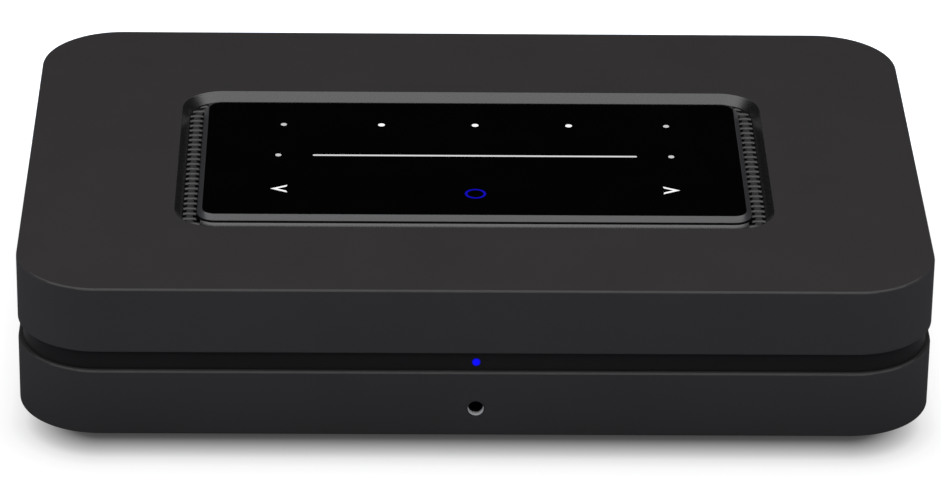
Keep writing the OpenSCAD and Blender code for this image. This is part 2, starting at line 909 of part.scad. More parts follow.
// A moulded comb: ribs across a lower rail that turn with the panel's corners, and a foot under the roof
module vent_grille() {
    rib_h = recess_z - pan_z + vent_root;
    rail_h = rib_h - vent_drop;
    foot_l = panel_d - 2 * panel_r;
    translate([0, panel_y, pan_z - vent_root])
        difference() {
            intersection() {
                vent_room(vent_land + vent_gap, rib_h);
                union() {
                    for (i = [0:vent_count])
                        translate([vent_in, i * vent_pitch - vent_l / 2, 0])
                            cube([vent_out - vent_in, vent_rib, rib_h]);
                    intersection() {
                        difference() {
                            panel_room(fit + vent_rail_in + vent_rail, rail_h);
                            translate([0, 0, -over])
                                panel_room(fit + vent_rail_in, rail_h + 2 * over);
                        }
                        translate([vent_in, -vent_l / 2, 0])
                            cube([vent_out - vent_in, vent_l, rail_h]);
                    }
                }
            }
            translate([0, 0, -over])
                panel_room(fit, rib_h + 2 * over);
        }
    translate([vent_out - vent_bite, panel_y - foot_l / 2, pan_z - vent_foot_t])
        cube([vent_foot_w + vent_bite, foot_l, vent_foot_t]);
}

module vent_grille_left() color("#59595c")
    mirror([1, 0, 0])
        vent_grille();

module vent_grille_right() color("#59595c")
    vent_grille();

// Ribbons: a loop from the touch board to the main board, and a flat link to the front board
module ribbon_cables() color("#d9d6cc") {
    low = board_top + ribbon_socket_h / 2;
    high = touch_z - ribbon_socket_h / 2;
    bend = (high - low) / 2;
    translate([ribbon_x - ribbon_w / 2, ribbon_y, (low + high) / 2])
        rotate([90, 0, 90])
            linear_extrude(height = ribbon_w)
                difference() {
                    circle(r = bend + ribbon_t / 2);
                    circle(r = bend - ribbon_t / 2);
                    translate([0, -2 * bend])
                        square(4 * bend);
                }
    block(link_x, front_board_back + ribbon_socket_h, low - ribbon_t / 2,
        ribbon_w, link_y - front_board_back - ribbon_socket_h, ribbon_t);
}

// Front board with the headphone socket and the status light

module front_board() color("#1f4d2e") difference() {
    block(0, front_board_y, floor_z, front_board_w, board_t, front_board_h);
    for (s = SIDES)
        along_y(s * front_post_x, front_board_y - over, floor_z + front_screw_up,
            board_t + 2 * over, board_screw_d + 2 * fit);
}

module status_light_pipe() color("#2a3cff") {
    along_y(0, front_y + groove_depth, led_z, front_board_y - led_body_t - front_y - groove_depth, led_d);
    along_y(0, front_y + groove_depth + band_t, led_z, pipe_flange_t, pipe_flange_d);
}

module status_led() color("#e6ecff")
    block(0, front_board_y - led_body_t, led_z - led_body_w / 2, led_body_w, led_body_t, led_body_w);

module infrared_receiver() color("#151018") {
    block(receiver_x, front_board_y - receiver_t, led_z - receiver_h / 2,
        receiver_w, receiver_t, receiver_h);
    intersection() {
        translate([receiver_x, front_board_y - receiver_t, led_z])
            sphere(d = receiver_dome_d);
        block(receiver_x, front_board_y - receiver_t - receiver_dome_d, led_z - receiver_h / 2,
            receiver_w, receiver_t + receiver_dome_d, receiver_h);
    }
}

module headphone_jack() color("#101012") difference() {
    union() {
        block(0, front_in, jack_z - jack_h / 2, jack_w, jack_l, jack_h);
        along_y(0, front_y + jack_nose_gap, jack_z, wall + sink, jack_nose_d);
    }
    along_y(0, front_y - over, jack_z, jack_depth + over, jack_bore_d);
}

// Main board and what stands on it

module main_board() color("#17452a") difference() {
    translate([main_x0, board_y0, board_z])
        cube([main_w, main_d, board_t]);
    at_board_holes()
        translate([0, 0, board_z - over])
            cylinder(h = board_t + 2 * over, d = board_screw_d + 2 * fit);
}

module at_board_holes() {
    for (p = BOARD_HOLES)
        translate([p.x, p.y, 0])
            children();
}

module board_standoffs() color("#b8963e") at_board_holes()
    translate([0, 0, floor_z])
        difference() {
            cylinder(h = standoff_h, d = standoff_d);
            translate([0, 0, standoff_h - board_bite - fit / 2])
                cylinder(h = board_bite + over, d = board_screw_d + 2 * thread_gap);
        }

module board_screws() color("#9a9a9e") {
    at_board_holes()
        translate([0, 0, board_top])
            mirror([0, 0, 1])
                board_screw();
    for (s = SIDES)
        translate([s * front_post_x, front_board_y, floor_z + front_screw_up])
            rotate([-90, 0, 0])
                board_screw();
}

module processor() color("#262628")
    block(processor_x, processor_y - processor_w / 2, board_top, processor_w, processor_w, processor_t);

module processor_heatsink() color("#8e9094")
    translate([processor_x - sink_w / 2, processor_y - sink_w / 2, board_top + processor_t]) {
        cube([sink_w, sink_w, sink_base]);
        for (i = [0:sink_fins - 1])
            translate([i * (sink_w - sink_fin_t) / (sink_fins - 1), 0, 0])
                cube([sink_fin_t, sink_w, sink_h]);
    }

// Memory, the audio converter, its output stage and the network interface
module board_chips() color("#222224") {
    converter_x = main_x0 + converter_in;
    block(main_x1 - chip_in, processor_y + memory_back, board_top, memory_w, memory_w, chip_t);
    block(main_x1 - chip_in, processor_y - storage_d, board_top, storage_w, storage_d, chip_t);
    block(converter_x, cap_y + converter_back, board_top, converter_w, converter_w, chip_t);
    for (s = SIDES)
        block(converter_x + s * amplifier_x, cap_y + converter_back, board_top,
            amplifier_w, amplifier_d, chip_t);
    block(usb_x, board_y1 - ethernet_l - network_gap - network_w, board_top,
        network_w, network_w, chip_t);
}

module wireless_module() color("#a9abb0") {
    block(module_x, module_y - module_d / 2, board_top, module_w, module_d, module_t);
    for (s = SIDES)
        translate([module_x + s * coax_x, module_y - coax_y, board_top + module_t])
            cylinder(h = coax_h, d = coax_d);
}

module antennas() color("#2d2a22")
    for (s = SIDES)
        translate([s * (inner_w / 2 - antenna_t / 2), antenna_y, antenna_z + antenna_h / 2])
            cube([antenna_t, antenna_l, antenna_h], center = true);

module antenna_leads() color("#3d3d40") {
    up = board_top + module_t + coax_h;
    side = inner_w / 2 - antenna_t - lead_d / 2;
    tip = antenna_z + antenna_h / 2;
    near = module_x + coax_x;
    far = module_x - coax_x;
    y = module_y - coax_y;
    front = board_y0 - lead_front;
    crossing = floor_z + front_post_h + lead_over;
    right = [[near, y, up], [near, y, up + lead_out], [post_x, y, up + 3 * lead_out],
        [side, antenna_y, tip], [side, antenna_y + lead_feed, tip]];
    left = [[far, y, up], [far, y, up + lead_out], [far, front, crossing],
        [-post_x, front, crossing], [-side, antenna_y - lead_feed, tip], [-side, antenna_y, tip]];
    cable(rounded_route(rounded_route(right)), lead_d);
    cable(rounded_route(rounded_route(left)), lead_d);
}

module audio_capacitors() color("#26304a")
    for (i = [0:cap_columns - 1], j = [0:1])
        translate([cap_x + i * cap_step, cap_y + j * cap_row, board_top])
            capacitor_can(cap_d, cap_h);

// Ribbon sockets on three boards, and the two headers of the power leads
module board_connectors() color("#e3dfd2") {
    for (z = [board_top, touch_z - ribbon_socket_h])
        block(ribbon_x, ribbon_y, z, ribbon_socket_w, ribbon_socket_d, ribbon_socket_h);
    block(link_x, link_y, board_top, ribbon_socket_w, ribbon_socket_d, ribbon_socket_h);
    block(link_x, front_board_back, board_top + (ribbon_socket_h - ribbon_socket_d) / 2,
        ribbon_socket_w, ribbon_socket_h, ribbon_socket_d);
    for (x = [power_x1 - header_in, main_x0 + header_in])
        block(x, header_y - header_d / 2, board_top, header_w, header_d, header_h);
}

// The power leads arch from header to header
module power_harness() color("#a3261f") {
    span = main_x0 - power_x1 + 2 * header_in;
    first = header_y - (wires - 1) / 2 * wire_step;
    for (i = [0:wires - 1])
        translate([(power_x1 + main_x0) / 2, first + i * wire_step, board_top + header_h])
            rotate([90, 0, 0])
                rotate_extrude(angle = 180)
                    translate([span / 2, 0])
                        circle(d = wire_d);
}

// Phono sockets, in two stacked pairs

module rca_housings() color("#141416")
    for (x = RCA_XS)
        difference() {
            block(x, panel_in - rca_l, board_top, rca_w, rca_l, rca_h);
            for (z = RCA_ZS)
                along_y(x, rca_root, z, rca_seat + over, rca_shoulder_d + 2 * rca_gap);
            along_y(x, panel_in - rear_bite - fit, rca_screw_z, rear_bite + fit + over,
                touch_screw_d + 2 * thread_gap);
        }

module rca_sleeves() color("#c9a449")
    for (x = RCA_XS, z = RCA_ZS)
        difference() {
            union() {
                along_y(x, rca_root, z, panel_out + rca_reach - rca_root, rca_d);
                along_y(x, rca_root, z, panel_out + rca_shoulder_out - rca_root, rca_shoulder_d);
            }
            along_y(x, rca_root - over, z, panel_out + rca_reach - rca_root + 2 * over,
                rca_d - 2 * rca_wall);
        }

module rca_insulator(x, z) {
    l = panel_out + rca_reach - rca_inset - rca_root;
    difference() {
        along_y(x, rca_root, z, l, rca_d - 2 * (rca_wall + rca_gap));
        along_y(x, rca_root + l - rca_hole_l, z, rca_hole_l + over, rca_hole_d);
    }
}

module rca_insulator_white() color("#e6e6e2")
    rca_insulator(rca_b_x, RCA_ZS[1]);

module rca_insulator_red() color("#b3201c")
    rca_insulator(rca_b_x, RCA_ZS[0]);

module rca_insulators_black() color("#1a1a1c")
    for (z = RCA_ZS)
        rca_insulator(rca_a_x, z);

module rca_contacts() color("#c9a449") {
    y = panel_out + rca_reach - rca_inset - rca_hole_l;
    for (x = RCA_XS, z = RCA_ZS)
        difference() {
            along_y(x, y, z, rca_pin_l, rca_hole_d - 2 * rca_gap);
            along_y(x, y - over, z, rca_pin_l + 2 * over, rca_hole_d - 2 * (rca_gap + rca_pin_wall));
        }
}

// Optical socket

module optical_housing() color("#17171a") difference() {
    block(optical_x, optical_front - optical_l, board_top, optical_w, optical_l, optical_h);
    block(optical_x, optical_front - port_l, board_top + port_low,
        port_w, port_l - mouth_t, port_high - port_low);
    block(optical_x, optical_front - port_l, board_top + mouth_low,
        mouth_w, port_l + over, mouth_high - mouth_low);
    translate([optical_x - optical_w / 2 - over, hinge_y, hinge_z])
        rotate([0, 90, 0])
            cylinder(h = optical_w + 2 * over, d = shutter_pin_d + 2 * pin_seat_gap);
}

module optical_shutter() color("#2a2a2e") difference() {
    union() {
        translate([optical_x - flap_w / 2, hinge_y, hinge_z])
            rotate([0, 90, 0])
                cylinder(h = flap_w / 2 + barrel_end, d = barrel_d);
        translate([optical_x - flap_w / 2, hinge_y + flap_front - flap_t, hinge_z - flap_l])
            cube([flap_w, flap_t, flap_l]);
    }
    translate([optical_x + barrel_end, hinge_y - over, hinge_z - flap_notch])
        cube([flap_w, 3 * over, flap_notch + over]);
    translate([optical_x - flap_w, hinge_y, hinge_z])
        rotate([0, 90, 0])
            cylinder(h = 2 * flap_w, d = shutter_pin_d + 2 * shutter_gap);
}

module shutter_pin() color("#b9babd")
    translate([optical_x - optical_w / 2 + pin_trim, hinge_y, hinge_z])
        rotate([0, 90, 0])
            cylinder(h = optical_w - 2 * pin_trim, d = shutter_pin_d);

module shutter_spring() color("#9b9ca0") {
    translate([optical_x, hinge_y, hinge_z])
        rotate([0, 90, 0])
            difference() {
                translate([0, 0, spring_x0])
                    cylinder(h = spring_x1 - spring_x0, r = spring_out);
                cylinder(h = flap_w, r = spring_in);
            }
    along_y(optical_x + spring_x1 - spring_leg_d / 2, hinge_y - spring_leg_l,
        hinge_z + spring_out - spring_leg_d / 2, spring_leg_l, spring_leg_d);
}

// The other sockets

module rear_jacks() color("#141416")
    for (x = [jack_a_x, jack_b_x])
        difference() {
            union() {
                block(x, panel_in - rear_jack_l, board_top, rear_jack_w, rear_jack_l, rear_jack_h);
                along_y(x, panel_in - sink, board_top + rear_jack_up, rear_t + rear_nose_out + sink,
                    rear_nose_d);
            }
            along_y(x, panel_out + rear_nose_out - rear_bore_l, board_top + rear_jack_up,
                rear_bore_l + over, jack_bore_d);
        }

// A folded metal shell round a plug's space
module plug_shell(x, w, h, l, t) {
    difference() {
        block(x, panel_out - l, board_top, w, l, h);
        block(x, panel_out - l - over, board_top + t, w - 2 * t, l + 2 * over, h - 2 * t);
    }
}

// The moulded tongue in that shell, with its root
module plug_tongue(x, w, h, l, t, tongue_w, tongue_t, tongue_l) {
    block(x, panel_out - l, board_top + t, w - 2 * t, plug_back, h - 2 * t);
    block(x, panel_out - l, board_top + (h - tongue_t) / 2, tongue_w, plug_back + tongue_l, tongue_t);
}

module hdmi_shell() color("#b5b6b9")
    plug_shell(hdmi_x, hdmi_w, hdmi_h, hdmi_l, hdmi_wall);

module hdmi_tongue() color("#101012")
    plug_tongue(hdmi_x, hdmi_w, hdmi_h, hdmi_l, hdmi_wall, hdmi_tongue_w, hdmi_tongue_t, hdmi_tongue_l);

module usb_shell() color("#b5b6b9")
    plug_shell(usb_x, usb_w, usb_h, usb_l, usb_wall);

module usb_tongue() color("#e9e9e6")
    plug_tongue(usb_x, usb_w, usb_h, usb_l, usb_wall, usb_tongue_w, usb_tongue_t, usb_tongue_l);

module ethernet_socket() color("#a7a9ad") difference() {
    block(ethernet_x, panel_out - ethernet_l, board_top, ethernet_w, ethernet_l, ethernet_h);
    block(ethernet_x, panel_out - ethernet_port_l, board_top + ethernet_sill,
        ethernet_port_w, ethernet_port_l + over, ethernet_port_h);
    block(ethernet_x, panel_out - ethernet_port_l, board_top + ethernet_sill + ethernet_port_h - sink,
        ethernet_latch_w, ethernet_port_l + over, ethernet_latch_h + sink);
}

module ethernet_contacts() color("#c9a449") {
    mid = (ethernet_pins - 1) / 2;
    for (i = [0:ethernet_pins - 1])
        block(ethernet_x + (i - mid) * ethernet_pin_pitch, panel_out - ethernet_port_l,
            board_top + ethernet_sill, ethernet_pin_w, ethernet_pin_l, ethernet_pin_w);
}

module mains_inlet() color("#151517") difference() {
    block(power_x, panel_out - inlet_l, board_top, inlet_w, inlet_l, inlet_h);
    translate([power_x, panel_out - inlet_port_l, inlet_z])
        rotate([-90, 0, 0])
            linear_extrude(height = inlet_port_l + over) {
                square([2 * inlet_port_x, 2 * inlet_port_r], center = true);
                for (s = SIDES)
                    translate([s * inlet_port_x, 0])
                        circle(r = inlet_port_r);
            }
}

module mains_pins() color("#c4c5c8")
    for (s = SIDES)
        along_y(power_x + s * inlet_pin_x, panel_out - inlet_port_l, inlet_z, inlet_pin_l, inlet_pin_d);

// Power supply

module power_board() color("#6b5a2a") difference() {
    translate([power_x0, board_y0, board_z])
        cube([power_w, main_d, board_t]);
    at_board_holes()
        translate([0, 0, board_z - over])
            cylinder(h = board_t + 2 * over, d = board_screw_d + 2 * fit);
}

module mains_fuse() color("#3b2a22")
    translate([power_x, fuse_y, board_top])
        cylinder(h = fuse_h, d = fuse_d);

module power_capacitors() color("#1d2b45") {
    translate([power_x + bulk_x, bulk_y, board_top])
        capacitor_can(bulk_d, bulk_h);
    for (x = OUTPUT_XS)
        translate([power_x + x, output_y, board_top])
            capacitor_can(output_d, output_h);
    block(power_x + film_x, film_y - film_d / 2, board_top, film_w, film_d, film_h);
}

module filter_choke() color("#7a5a3a")
    translate([power_x + choke_x, choke_y, board_top]) {
        cylinder(h = choke_flange, d = choke_w);
        cylinder(h = choke_h, d = choke_neck_d);
        translate([0, 0, choke_flange + choke_coil_gap])
            cylinder(h = choke_h - 2 * (choke_flange + choke_coil_gap), d = choke_coil_d);
        translate([0, 0, choke_h - choke_flange])
            cylinder(h = choke_flange, d = choke_w);
    }

// Two E-shaped ferrite halves round the coil
module transformer_core() color("#3a3a3d")
    translate([power_x + core_x - core_w / 2, core_y - core_d / 2, board_top])
        difference() {
            cube([core_w, core_d, core_h]);
            for (x = [core_t / 2, core_w / 2 + core_t / 2])
                translate([x, -over, core_t / 2])
                    cube([(core_w - 2 * core_t) / 2, core_d + 2 * over, core_h - core_t]);
        }

// The coil fills the core's two windows and closes round the middle leg at both ends
module transformer_winding() color("#c9a227")
    translate([power_x + core_x, core_y, board_top + core_t / 2 + coil_gap]) {
        coil_h = core_h - core_t - 2 * coil_gap;
        coil_w = core_w - core_t - 2 * coil_gap;
        leg_w = core_t + 2 * coil_gap;
        end_l = core_t / 2;
        difference() {
            block(0, -core_d / 2 - end_l, 0, coil_w, core_d + 2 * end_l, coil_h);
            block(0, -core_d / 2 - coil_gap, -over, leg_w, core_d + 2 * coil_gap, coil_h + 2 * over);
        }
    }

lower_shell();
upper_shell();
centre_band();
base_plate();
feet();
case_screws();
rear_panel();
rear_panel_screws();
touch_bezel();
touch_glass();
light_guide();
touch_board();
touch_leds();
touch_screws();
ribbon_cables();
vent_grille_left();
vent_grille_right();
front_board();
status_light_pipe();
status_led();
infrared_receiver();
headphone_jack();
main_board();
board_standoffs();
board_screws();
processor();
processor_heatsink();
board_chips();
wireless_module();
antennas();
antenna_leads();
audio_capacitors();
board_connectors();
rca_housings();
rca_sleeves();
rca_insulator_white();
rca_insulator_red();
rca_insulators_black();
rca_contacts();
optical_housing();
optical_shutter();
shutter_pin();
shutter_spring();
rear_jacks();
hdmi_shell();
hdmi_tongue();
usb_shell();
usb_tongue();
ethernet_socket();
ethernet_contacts();
mains_inlet();
mains_pins();
power_board();
mains_fuse();
power_capacitors();
filter_choke();
transformer_core();
transformer_winding();
power_harness();
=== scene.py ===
# A compact network music streamer: two moulded blocks with a dark band between them, a touch panel
# sunk in the roof, a base plate on rubber feet and a bay of sockets behind.
# The pieces are made in the order in which the object is put together, in the frame of its solids.
import math

import bmesh
import bpy
from mathutils import Matrix, Vector


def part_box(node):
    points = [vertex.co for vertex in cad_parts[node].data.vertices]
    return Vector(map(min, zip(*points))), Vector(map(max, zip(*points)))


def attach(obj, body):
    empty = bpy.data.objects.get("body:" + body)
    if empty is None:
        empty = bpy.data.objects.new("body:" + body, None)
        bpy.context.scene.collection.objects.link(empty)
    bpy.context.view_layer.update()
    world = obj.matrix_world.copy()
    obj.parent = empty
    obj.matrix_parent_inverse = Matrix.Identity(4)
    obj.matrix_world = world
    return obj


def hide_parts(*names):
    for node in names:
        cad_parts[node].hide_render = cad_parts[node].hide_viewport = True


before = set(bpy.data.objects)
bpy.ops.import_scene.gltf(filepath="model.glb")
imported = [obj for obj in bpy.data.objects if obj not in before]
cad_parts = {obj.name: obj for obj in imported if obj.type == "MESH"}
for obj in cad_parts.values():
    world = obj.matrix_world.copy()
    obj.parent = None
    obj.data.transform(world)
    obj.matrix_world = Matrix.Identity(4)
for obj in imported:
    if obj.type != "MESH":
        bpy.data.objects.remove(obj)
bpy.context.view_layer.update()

# Lower block
# One injection-moulded ABS tray with a flat floor, a post in each corner for a case screw and two
# posts for the front board. Its outer edges are rounded in the mould, and its rear wall is cut open.
MM = 0.001
CORNER_STEPS = 20
EDGE_STEPS = 5
ROD_STEPS = 48
OVERCUT = 1.0
SLIVER = 0.001
TURNS = ((1, 1), (-1, 1), (-1, -1), (1, -1))


def mm_box(node):
    """Lowest and highest corner of a solid, in millimetres."""
    low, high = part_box(node)
    return low / MM, high / MM


def outline(w, d, r, y, z):
    """A rounded rectangle round the point (0, y) at height z, as points in millimetres."""
    points = []
    for turn, (sx, sy) in enumerate(TURNS):
        for step in range(CORNER_STEPS + 1):
            angle = math.radians(90 * (turn + step / CORNER_STEPS))
            x_off = sx * (w / 2 - r) + r * math.cos(angle)
            y_off = sy * (d / 2 - r) + r * math.sin(angle)
            points.append((x_off, y + y_off, z))
    return points


def rounding(r):
    """Pairs of (distance in, distance down) along a quarter round, from the side face to the top face."""
    angles = [math.radians(90 * step / EDGE_STEPS) for step in range(EDGE_STEPS + 1)]
    return [(r * (1 - math.cos(a)), r * (1 - math.sin(a))) for a in angles]


def mesh_piece(name, bm):
    """Turns a mesh in millimetres into an object in metres."""
    bmesh.ops.recalc_face_normals(bm, faces=bm.faces)
    bmesh.ops.scale(bm, vec=(MM, MM, MM), verts=bm.verts)
    mesh = bpy.data.meshes.new(name)
    bm.to_mesh(mesh)
    bm.free()
    piece = bpy.data.objects.new(name, mesh)
    bpy.context.scene.collection.objects.link(piece)
    return piece


def skin(bm, rings, capped):
    """Adds a closed skin through rings of equally many points, with flat caps or joined end to end."""
    loops = [[bm.verts.new(point) for point in ring] for ring in rings]
    following = loops[1:] if capped else loops[1:] + loops[:1]
    for near, far in zip(loops, following):
        for k in range(len(near)):
            after = (k + 1) % len(near)
            bm.faces.new((near[k], near[after], far[after], far[k]))
    if capped:
        bm.faces.new(loops[0])
        bm.faces.new(loops[-1])


def lofted(name, rings, capped):
    """One piece made of a single closed skin."""
    bm = bmesh.new()
    skin(bm, rings, capped)
    return mesh_piece(name, bm)


def rod(x, y, z, r, length, along="Z"):
    """A closed cylinder that starts at a point and runs along +Z or +Y, as a tool for cutting or joining."""
    turn = Matrix.Identity(4) if along == "Z" else Matrix.Rotation(math.radians(-90), 4, "X")
    place = Matrix.Translation((x, y, z)) @ turn @ Matrix.Translation((0, 0, length / 2))
    bm = bmesh.new()
    bmesh.ops.create_cone(bm, cap_ends=True, segments=ROD_STEPS, radius1=r, radius2=r, depth=length,
                          matrix=place)
    return mesh_piece("tool", bm)


def slab(low, high):
    """A closed box between two corners, as a tool for cutting or joining."""
    size = Vector(high) - Vector(low)
    place = Matrix.Translation((Vector(low) + Vector(high)) / 2) @ Matrix.Diagonal((*size, 1))
    bm = bmesh.new()
    bmesh.ops.create_cube(bm, size=1, matrix=place)
    return mesh_piece("tool", bm)


def worked(piece, how, tools):
    """Joins each tool to a piece, cuts it out or keeps what both share, and drops tools and slivers."""
    for tool in tools:
        step = piece.modifiers.new("step", "BOOLEAN")
        step.operation = how
        step.solver = "EXACT"
        step.object = tool
        solid = piece.evaluated_get(bpy.context.evaluated_depsgraph_get())
        mesh = bpy.data.meshes.new_from_object(solid)
        piece.modifiers.clear()
        piece.data = mesh
        bpy.data.objects.remove(tool)
    bm = bmesh.new()
    bm.from_mesh(piece.data)
    bmesh.ops.remove_doubles(bm, verts=bm.verts, dist=SLIVER * MM)
    bmesh.ops.dissolve_degenerate(bm, dist=SLIVER * MM, edges=bm.edges)
    bm.to_mesh(piece.data)
    bm.free()
    return piece


def shaded(piece, sharp_deg=32):
    """Smooth shading over rounds, with flat faces kept flat and true corners kept sharp."""
    piece.data.polygons.foreach_set("use_smooth", [True] * len(piece.data.polygons))
    piece.data.set_sharp_from_angle(angle=math.radians(sharp_deg))
    weighted = piece.modifiers.new("flat_faces", "WEIGHTED_NORMAL")
    weighted.keep_sharp = True
    return piece


def linear(code):
    """A colour written as sRGB hex, in the linear light that shaders take."""
    parts = [int(code[k:k + 2], 16) / 255 for k in (1, 3, 5)]
    return [c / 12.92 if c <= 0.04045 else ((c + 0.055) / 1.055) ** 2.4 for c in parts] + [1.0]


def add(tree, kind, settings, inputs):
    """Adds one shader node with its settings, and sets or links its inputs."""
    made = tree.nodes.new(kind)
    for key, value in settings.items():
        setattr(made, key, value)
    for key, value in inputs.items():
        if isinstance(value, bpy.types.NodeSocket):
            tree.links.new(value, made.inputs[key])
        else:
            made.inputs[key].default_value = value
    return made


def surface(name, constants):
    """A new material, with the sockets that are the same all over set on its shader."""
    material = bpy.data.materials.new(name)
    material.use_nodes = True
    shader = material.node_tree.nodes["Principled BSDF"]
    for key, value in constants.items():
        shader.inputs[key].default_value = value
    return material, material.node_tree, shader


def varied(tree, shader, shades, dark, light, wear, gloss):
    """Lets one pattern vary a surface between two colours, and one vary its roughness."""
    tint = add(tree, "ShaderNodeMix", {"data_type": "RGBA"},
               {"Factor": shades.outputs["Fac"], "A": linear(dark), "B": linear(light)})
    rough = add(tree, "ShaderNodeMapRange", {},
                {"Value": wear.outputs["Fac"], "To Min": gloss[0], "To Max": gloss[1]})
    tree.links.new(tint.outputs["Result"], shader.inputs["Base Color"])
    tree.links.new(rough.outputs["Result"], shader.inputs["Roughness"])


def moulded(name, dark, light, gloss, grain_mm, depth_mm, cloud_mm, specular=0.5):
    """Moulded plastic or rubber: the mould's grain as bump and gloss, and clouds where the melt flowed."""
    material, tree, shader = surface(name, {"IOR": 1.5, "Specular IOR Level": specular})
    place = add(tree, "ShaderNodeTexCoord", {}, {}).outputs["Object"]
    grain = add(tree, "ShaderNodeTexNoise", {},
                {"Vector": place, "Scale": 1 / (grain_mm * MM), "Detail": 3.0})
    cloud = add(tree, "ShaderNodeTexNoise", {},
                {"Vector": place, "Scale": 1 / (cloud_mm * MM), "Detail": 2.0})
    varied(tree, shader, cloud, dark, light, grain, gloss)
    bump = add(tree, "ShaderNodeBump", {},
               {"Height": grain.outputs["Fac"], "Strength": 0.5, "Distance": depth_mm * MM})
    tree.links.new(bump.outputs["Normal"], shader.inputs["Normal"])
    return material


def fitted(piece, material, body, slot, *nodes):
    """Puts a finish on a new piece, which rides on a body and stands for its solids."""
    piece.data.materials.clear()
    piece.data.materials.append(material)
    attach(piece, body)
    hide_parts(*nodes)


# ABS, moulded against a spark-eroded tool: a soft charcoal that hardly shines, with no mirror image.
# The real grit is about 0.1 mm and too fine to show, so it is drawn at 0.35 mm.
shell_abs = moulded("abs_spark_eroded", "#302e2e", "#343232", (0.82, 0.94), 0.35, 0.02, 22, 0.01)

lower_low, lower_high = mm_box("lower_shell")
body_w = lower_high.x - lower_low.x
body_d = lower_high.y - lower_low.y
body_r = 20.0
wall_t = 2.8
floor_t = 2.6
edge_r = 0.6
low_edge_r = 0.3
bottom_z = lower_low.z
lower_top = lower_high.z
floor_z = bottom_z + floor_t


def block_ring(inset, z):
    """The case's outline, drawn in by an inset."""
    return outline(body_w - 2 * inset, body_d - 2 * inset, body_r - inset, 0, z)


underside = [block_ring(run, bottom_z + drop) for run, drop in reversed(rounding(low_edge_r))]
rim = [block_ring(run, lower_top - drop) for run, drop in rounding(edge_r)]
lower_block = lofted("lower_block", underside + rim + [
    block_ring(wall_t, lower_top), block_ring(wall_t, floor_z)], True)

post_inset = 22.0
post_x = body_w / 2 - post_inset
post_y = body_d / 2 - post_inset
post_r = 4.2
post_root = 0.5
screw_hole_r = 1.7
posts = [(sx * post_x, sy * post_y) for sx, sy in TURNS]
worked(lower_block, "UNION", [
    rod(x, y, floor_z - post_root, post_r, lower_top - floor_z + post_root) for x, y in posts])
worked(lower_block, "DIFFERENCE", [rod(x, y, bottom_z - OVERCUT, screw_hole_r, body_d) for x, y in posts])
front_y = lower_low.y
jack_rise = 7.2
jack_z = bottom_z + jack_rise
jack_hole_r = 2.175
board_post_x = 17.0
board_post_back = 15.4
board_post_y = front_y + wall_t + board_post_back
board_post_w = 5.0
board_post_h = 14.0
cut_margin = 26.0
cut_half = body_w / 2 - cut_margin
cut_sill = 1.8
root = 0.4
board_posts = []
for x in (-board_post_x, board_post_x):
    board_posts.append(slab(
        (x - board_post_w / 2, board_post_y, floor_z - root),
        (x + board_post_w / 2, board_post_y + board_post_w, floor_z + board_post_h)))
worked(lower_block, "UNION", board_posts)
worked(lower_block, "DIFFERENCE", [
    rod(0, front_y - OVERCUT, jack_z, jack_hole_r, wall_t + 2 * OVERCUT, "Y"),
    slab((-cut_half, body_d / 2 - wall_t - OVERCUT, floor_z + cut_sill),
         (cut_half, body_d / 2 + OVERCUT, lower_top + OVERCUT))])
fitted(shaded(lower_block), shell_abs, "streamer", "shell_plastic", "lower_shell")

# The same ABS along a block's upper front edge, with a painted highlight: a thin paler line with more sheen.
rim_highlight_abs = moulded("abs_painted_rim_highlight", "#3a3837", "#3f3d3c", (0.4, 0.5), 0.35, 0.008, 9, 0.22)
RIM_TILT = 0.4
RIM_FADE = 1.5
RIM_DEPTH = 1.5 * edge_r
FLAT_TILT = 0.999


def marked(piece, material, chosen):
    """Gives a piece a further finish, on the faces that a test picks by their middle and their normal."""
    piece.data.materials.append(material)
    for face in piece.data.polygons:
        if chosen(face.center / MM, face.normal):
            face.material_index = len(piece.data.materials) - 1


def paint_rim_highlight(block, crest_z):
    """Paints a highlight along a block's upper edge, which tapers to nothing as the front corners turn away.
    """
    def in_rim_highlight(middle, normal):
        if not (crest_z - edge_r < middle.z < crest_z and RIM_TILT < normal.z < FLAT_TILT):
            return False
        turned = 1 + normal.y / math.hypot(normal.x, normal.y)
        past_x = max(abs(middle.x) - (body_w / 2 - body_r), 0)
        past_y = max(abs(middle.y) - (body_d / 2 - body_r), 0)
        on_rim = math.hypot(past_x, past_y) > body_r - RIM_DEPTH
        return on_rim and normal.z > RIM_TILT + RIM_FADE * turned

    marked(block, rim_highlight_abs, in_rim_highlight)


# The lower block's upper edge gets its painted highlight.
paint_rim_highlight(lower_block, lower_top)

# Base plate, feet and case screws
# A moulded ABS plate closes the underside. Four rubber feet are pressed into it by their stubs, and
# four long screws run up through it and the lower block's posts into the upper block.
WELD = 0.002
FLAT_DEG = 0.4
BREAK_DEG = 30
BREAK_STEPS = 3
SMALL_SHARP_DEG = 60


def softened(node, round_mm):
    """A copy of a solid with its edges broken, as a mould, a press or a file leaves them."""
    bm = bmesh.new()
    bm.from_mesh(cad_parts[node].data)
    bmesh.ops.remove_doubles(bm, verts=bm.verts, dist=WELD * MM)
    bmesh.ops.dissolve_limit(bm, angle_limit=math.radians(FLAT_DEG), verts=bm.verts, edges=bm.edges)
    bmesh.ops.scale(bm, vec=(1 / MM, 1 / MM, 1 / MM), verts=bm.verts)
    piece = mesh_piece(node + "_finished", bm)
    edge = piece.modifiers.new("broken_edges", "BEVEL")
    edge.limit_method = "ANGLE"
    edge.angle_limit = math.radians(BREAK_DEG)
    edge.width = round_mm * MM
    edge.segments = BREAK_STEPS
    return shaded(piece, SMALL_SHARP_DEG)


def dressed(material, *nodes):
    """Gives solids that already have the right shape their finish."""
    for node in nodes:
        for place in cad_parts[node].material_slots:
            place.material = material


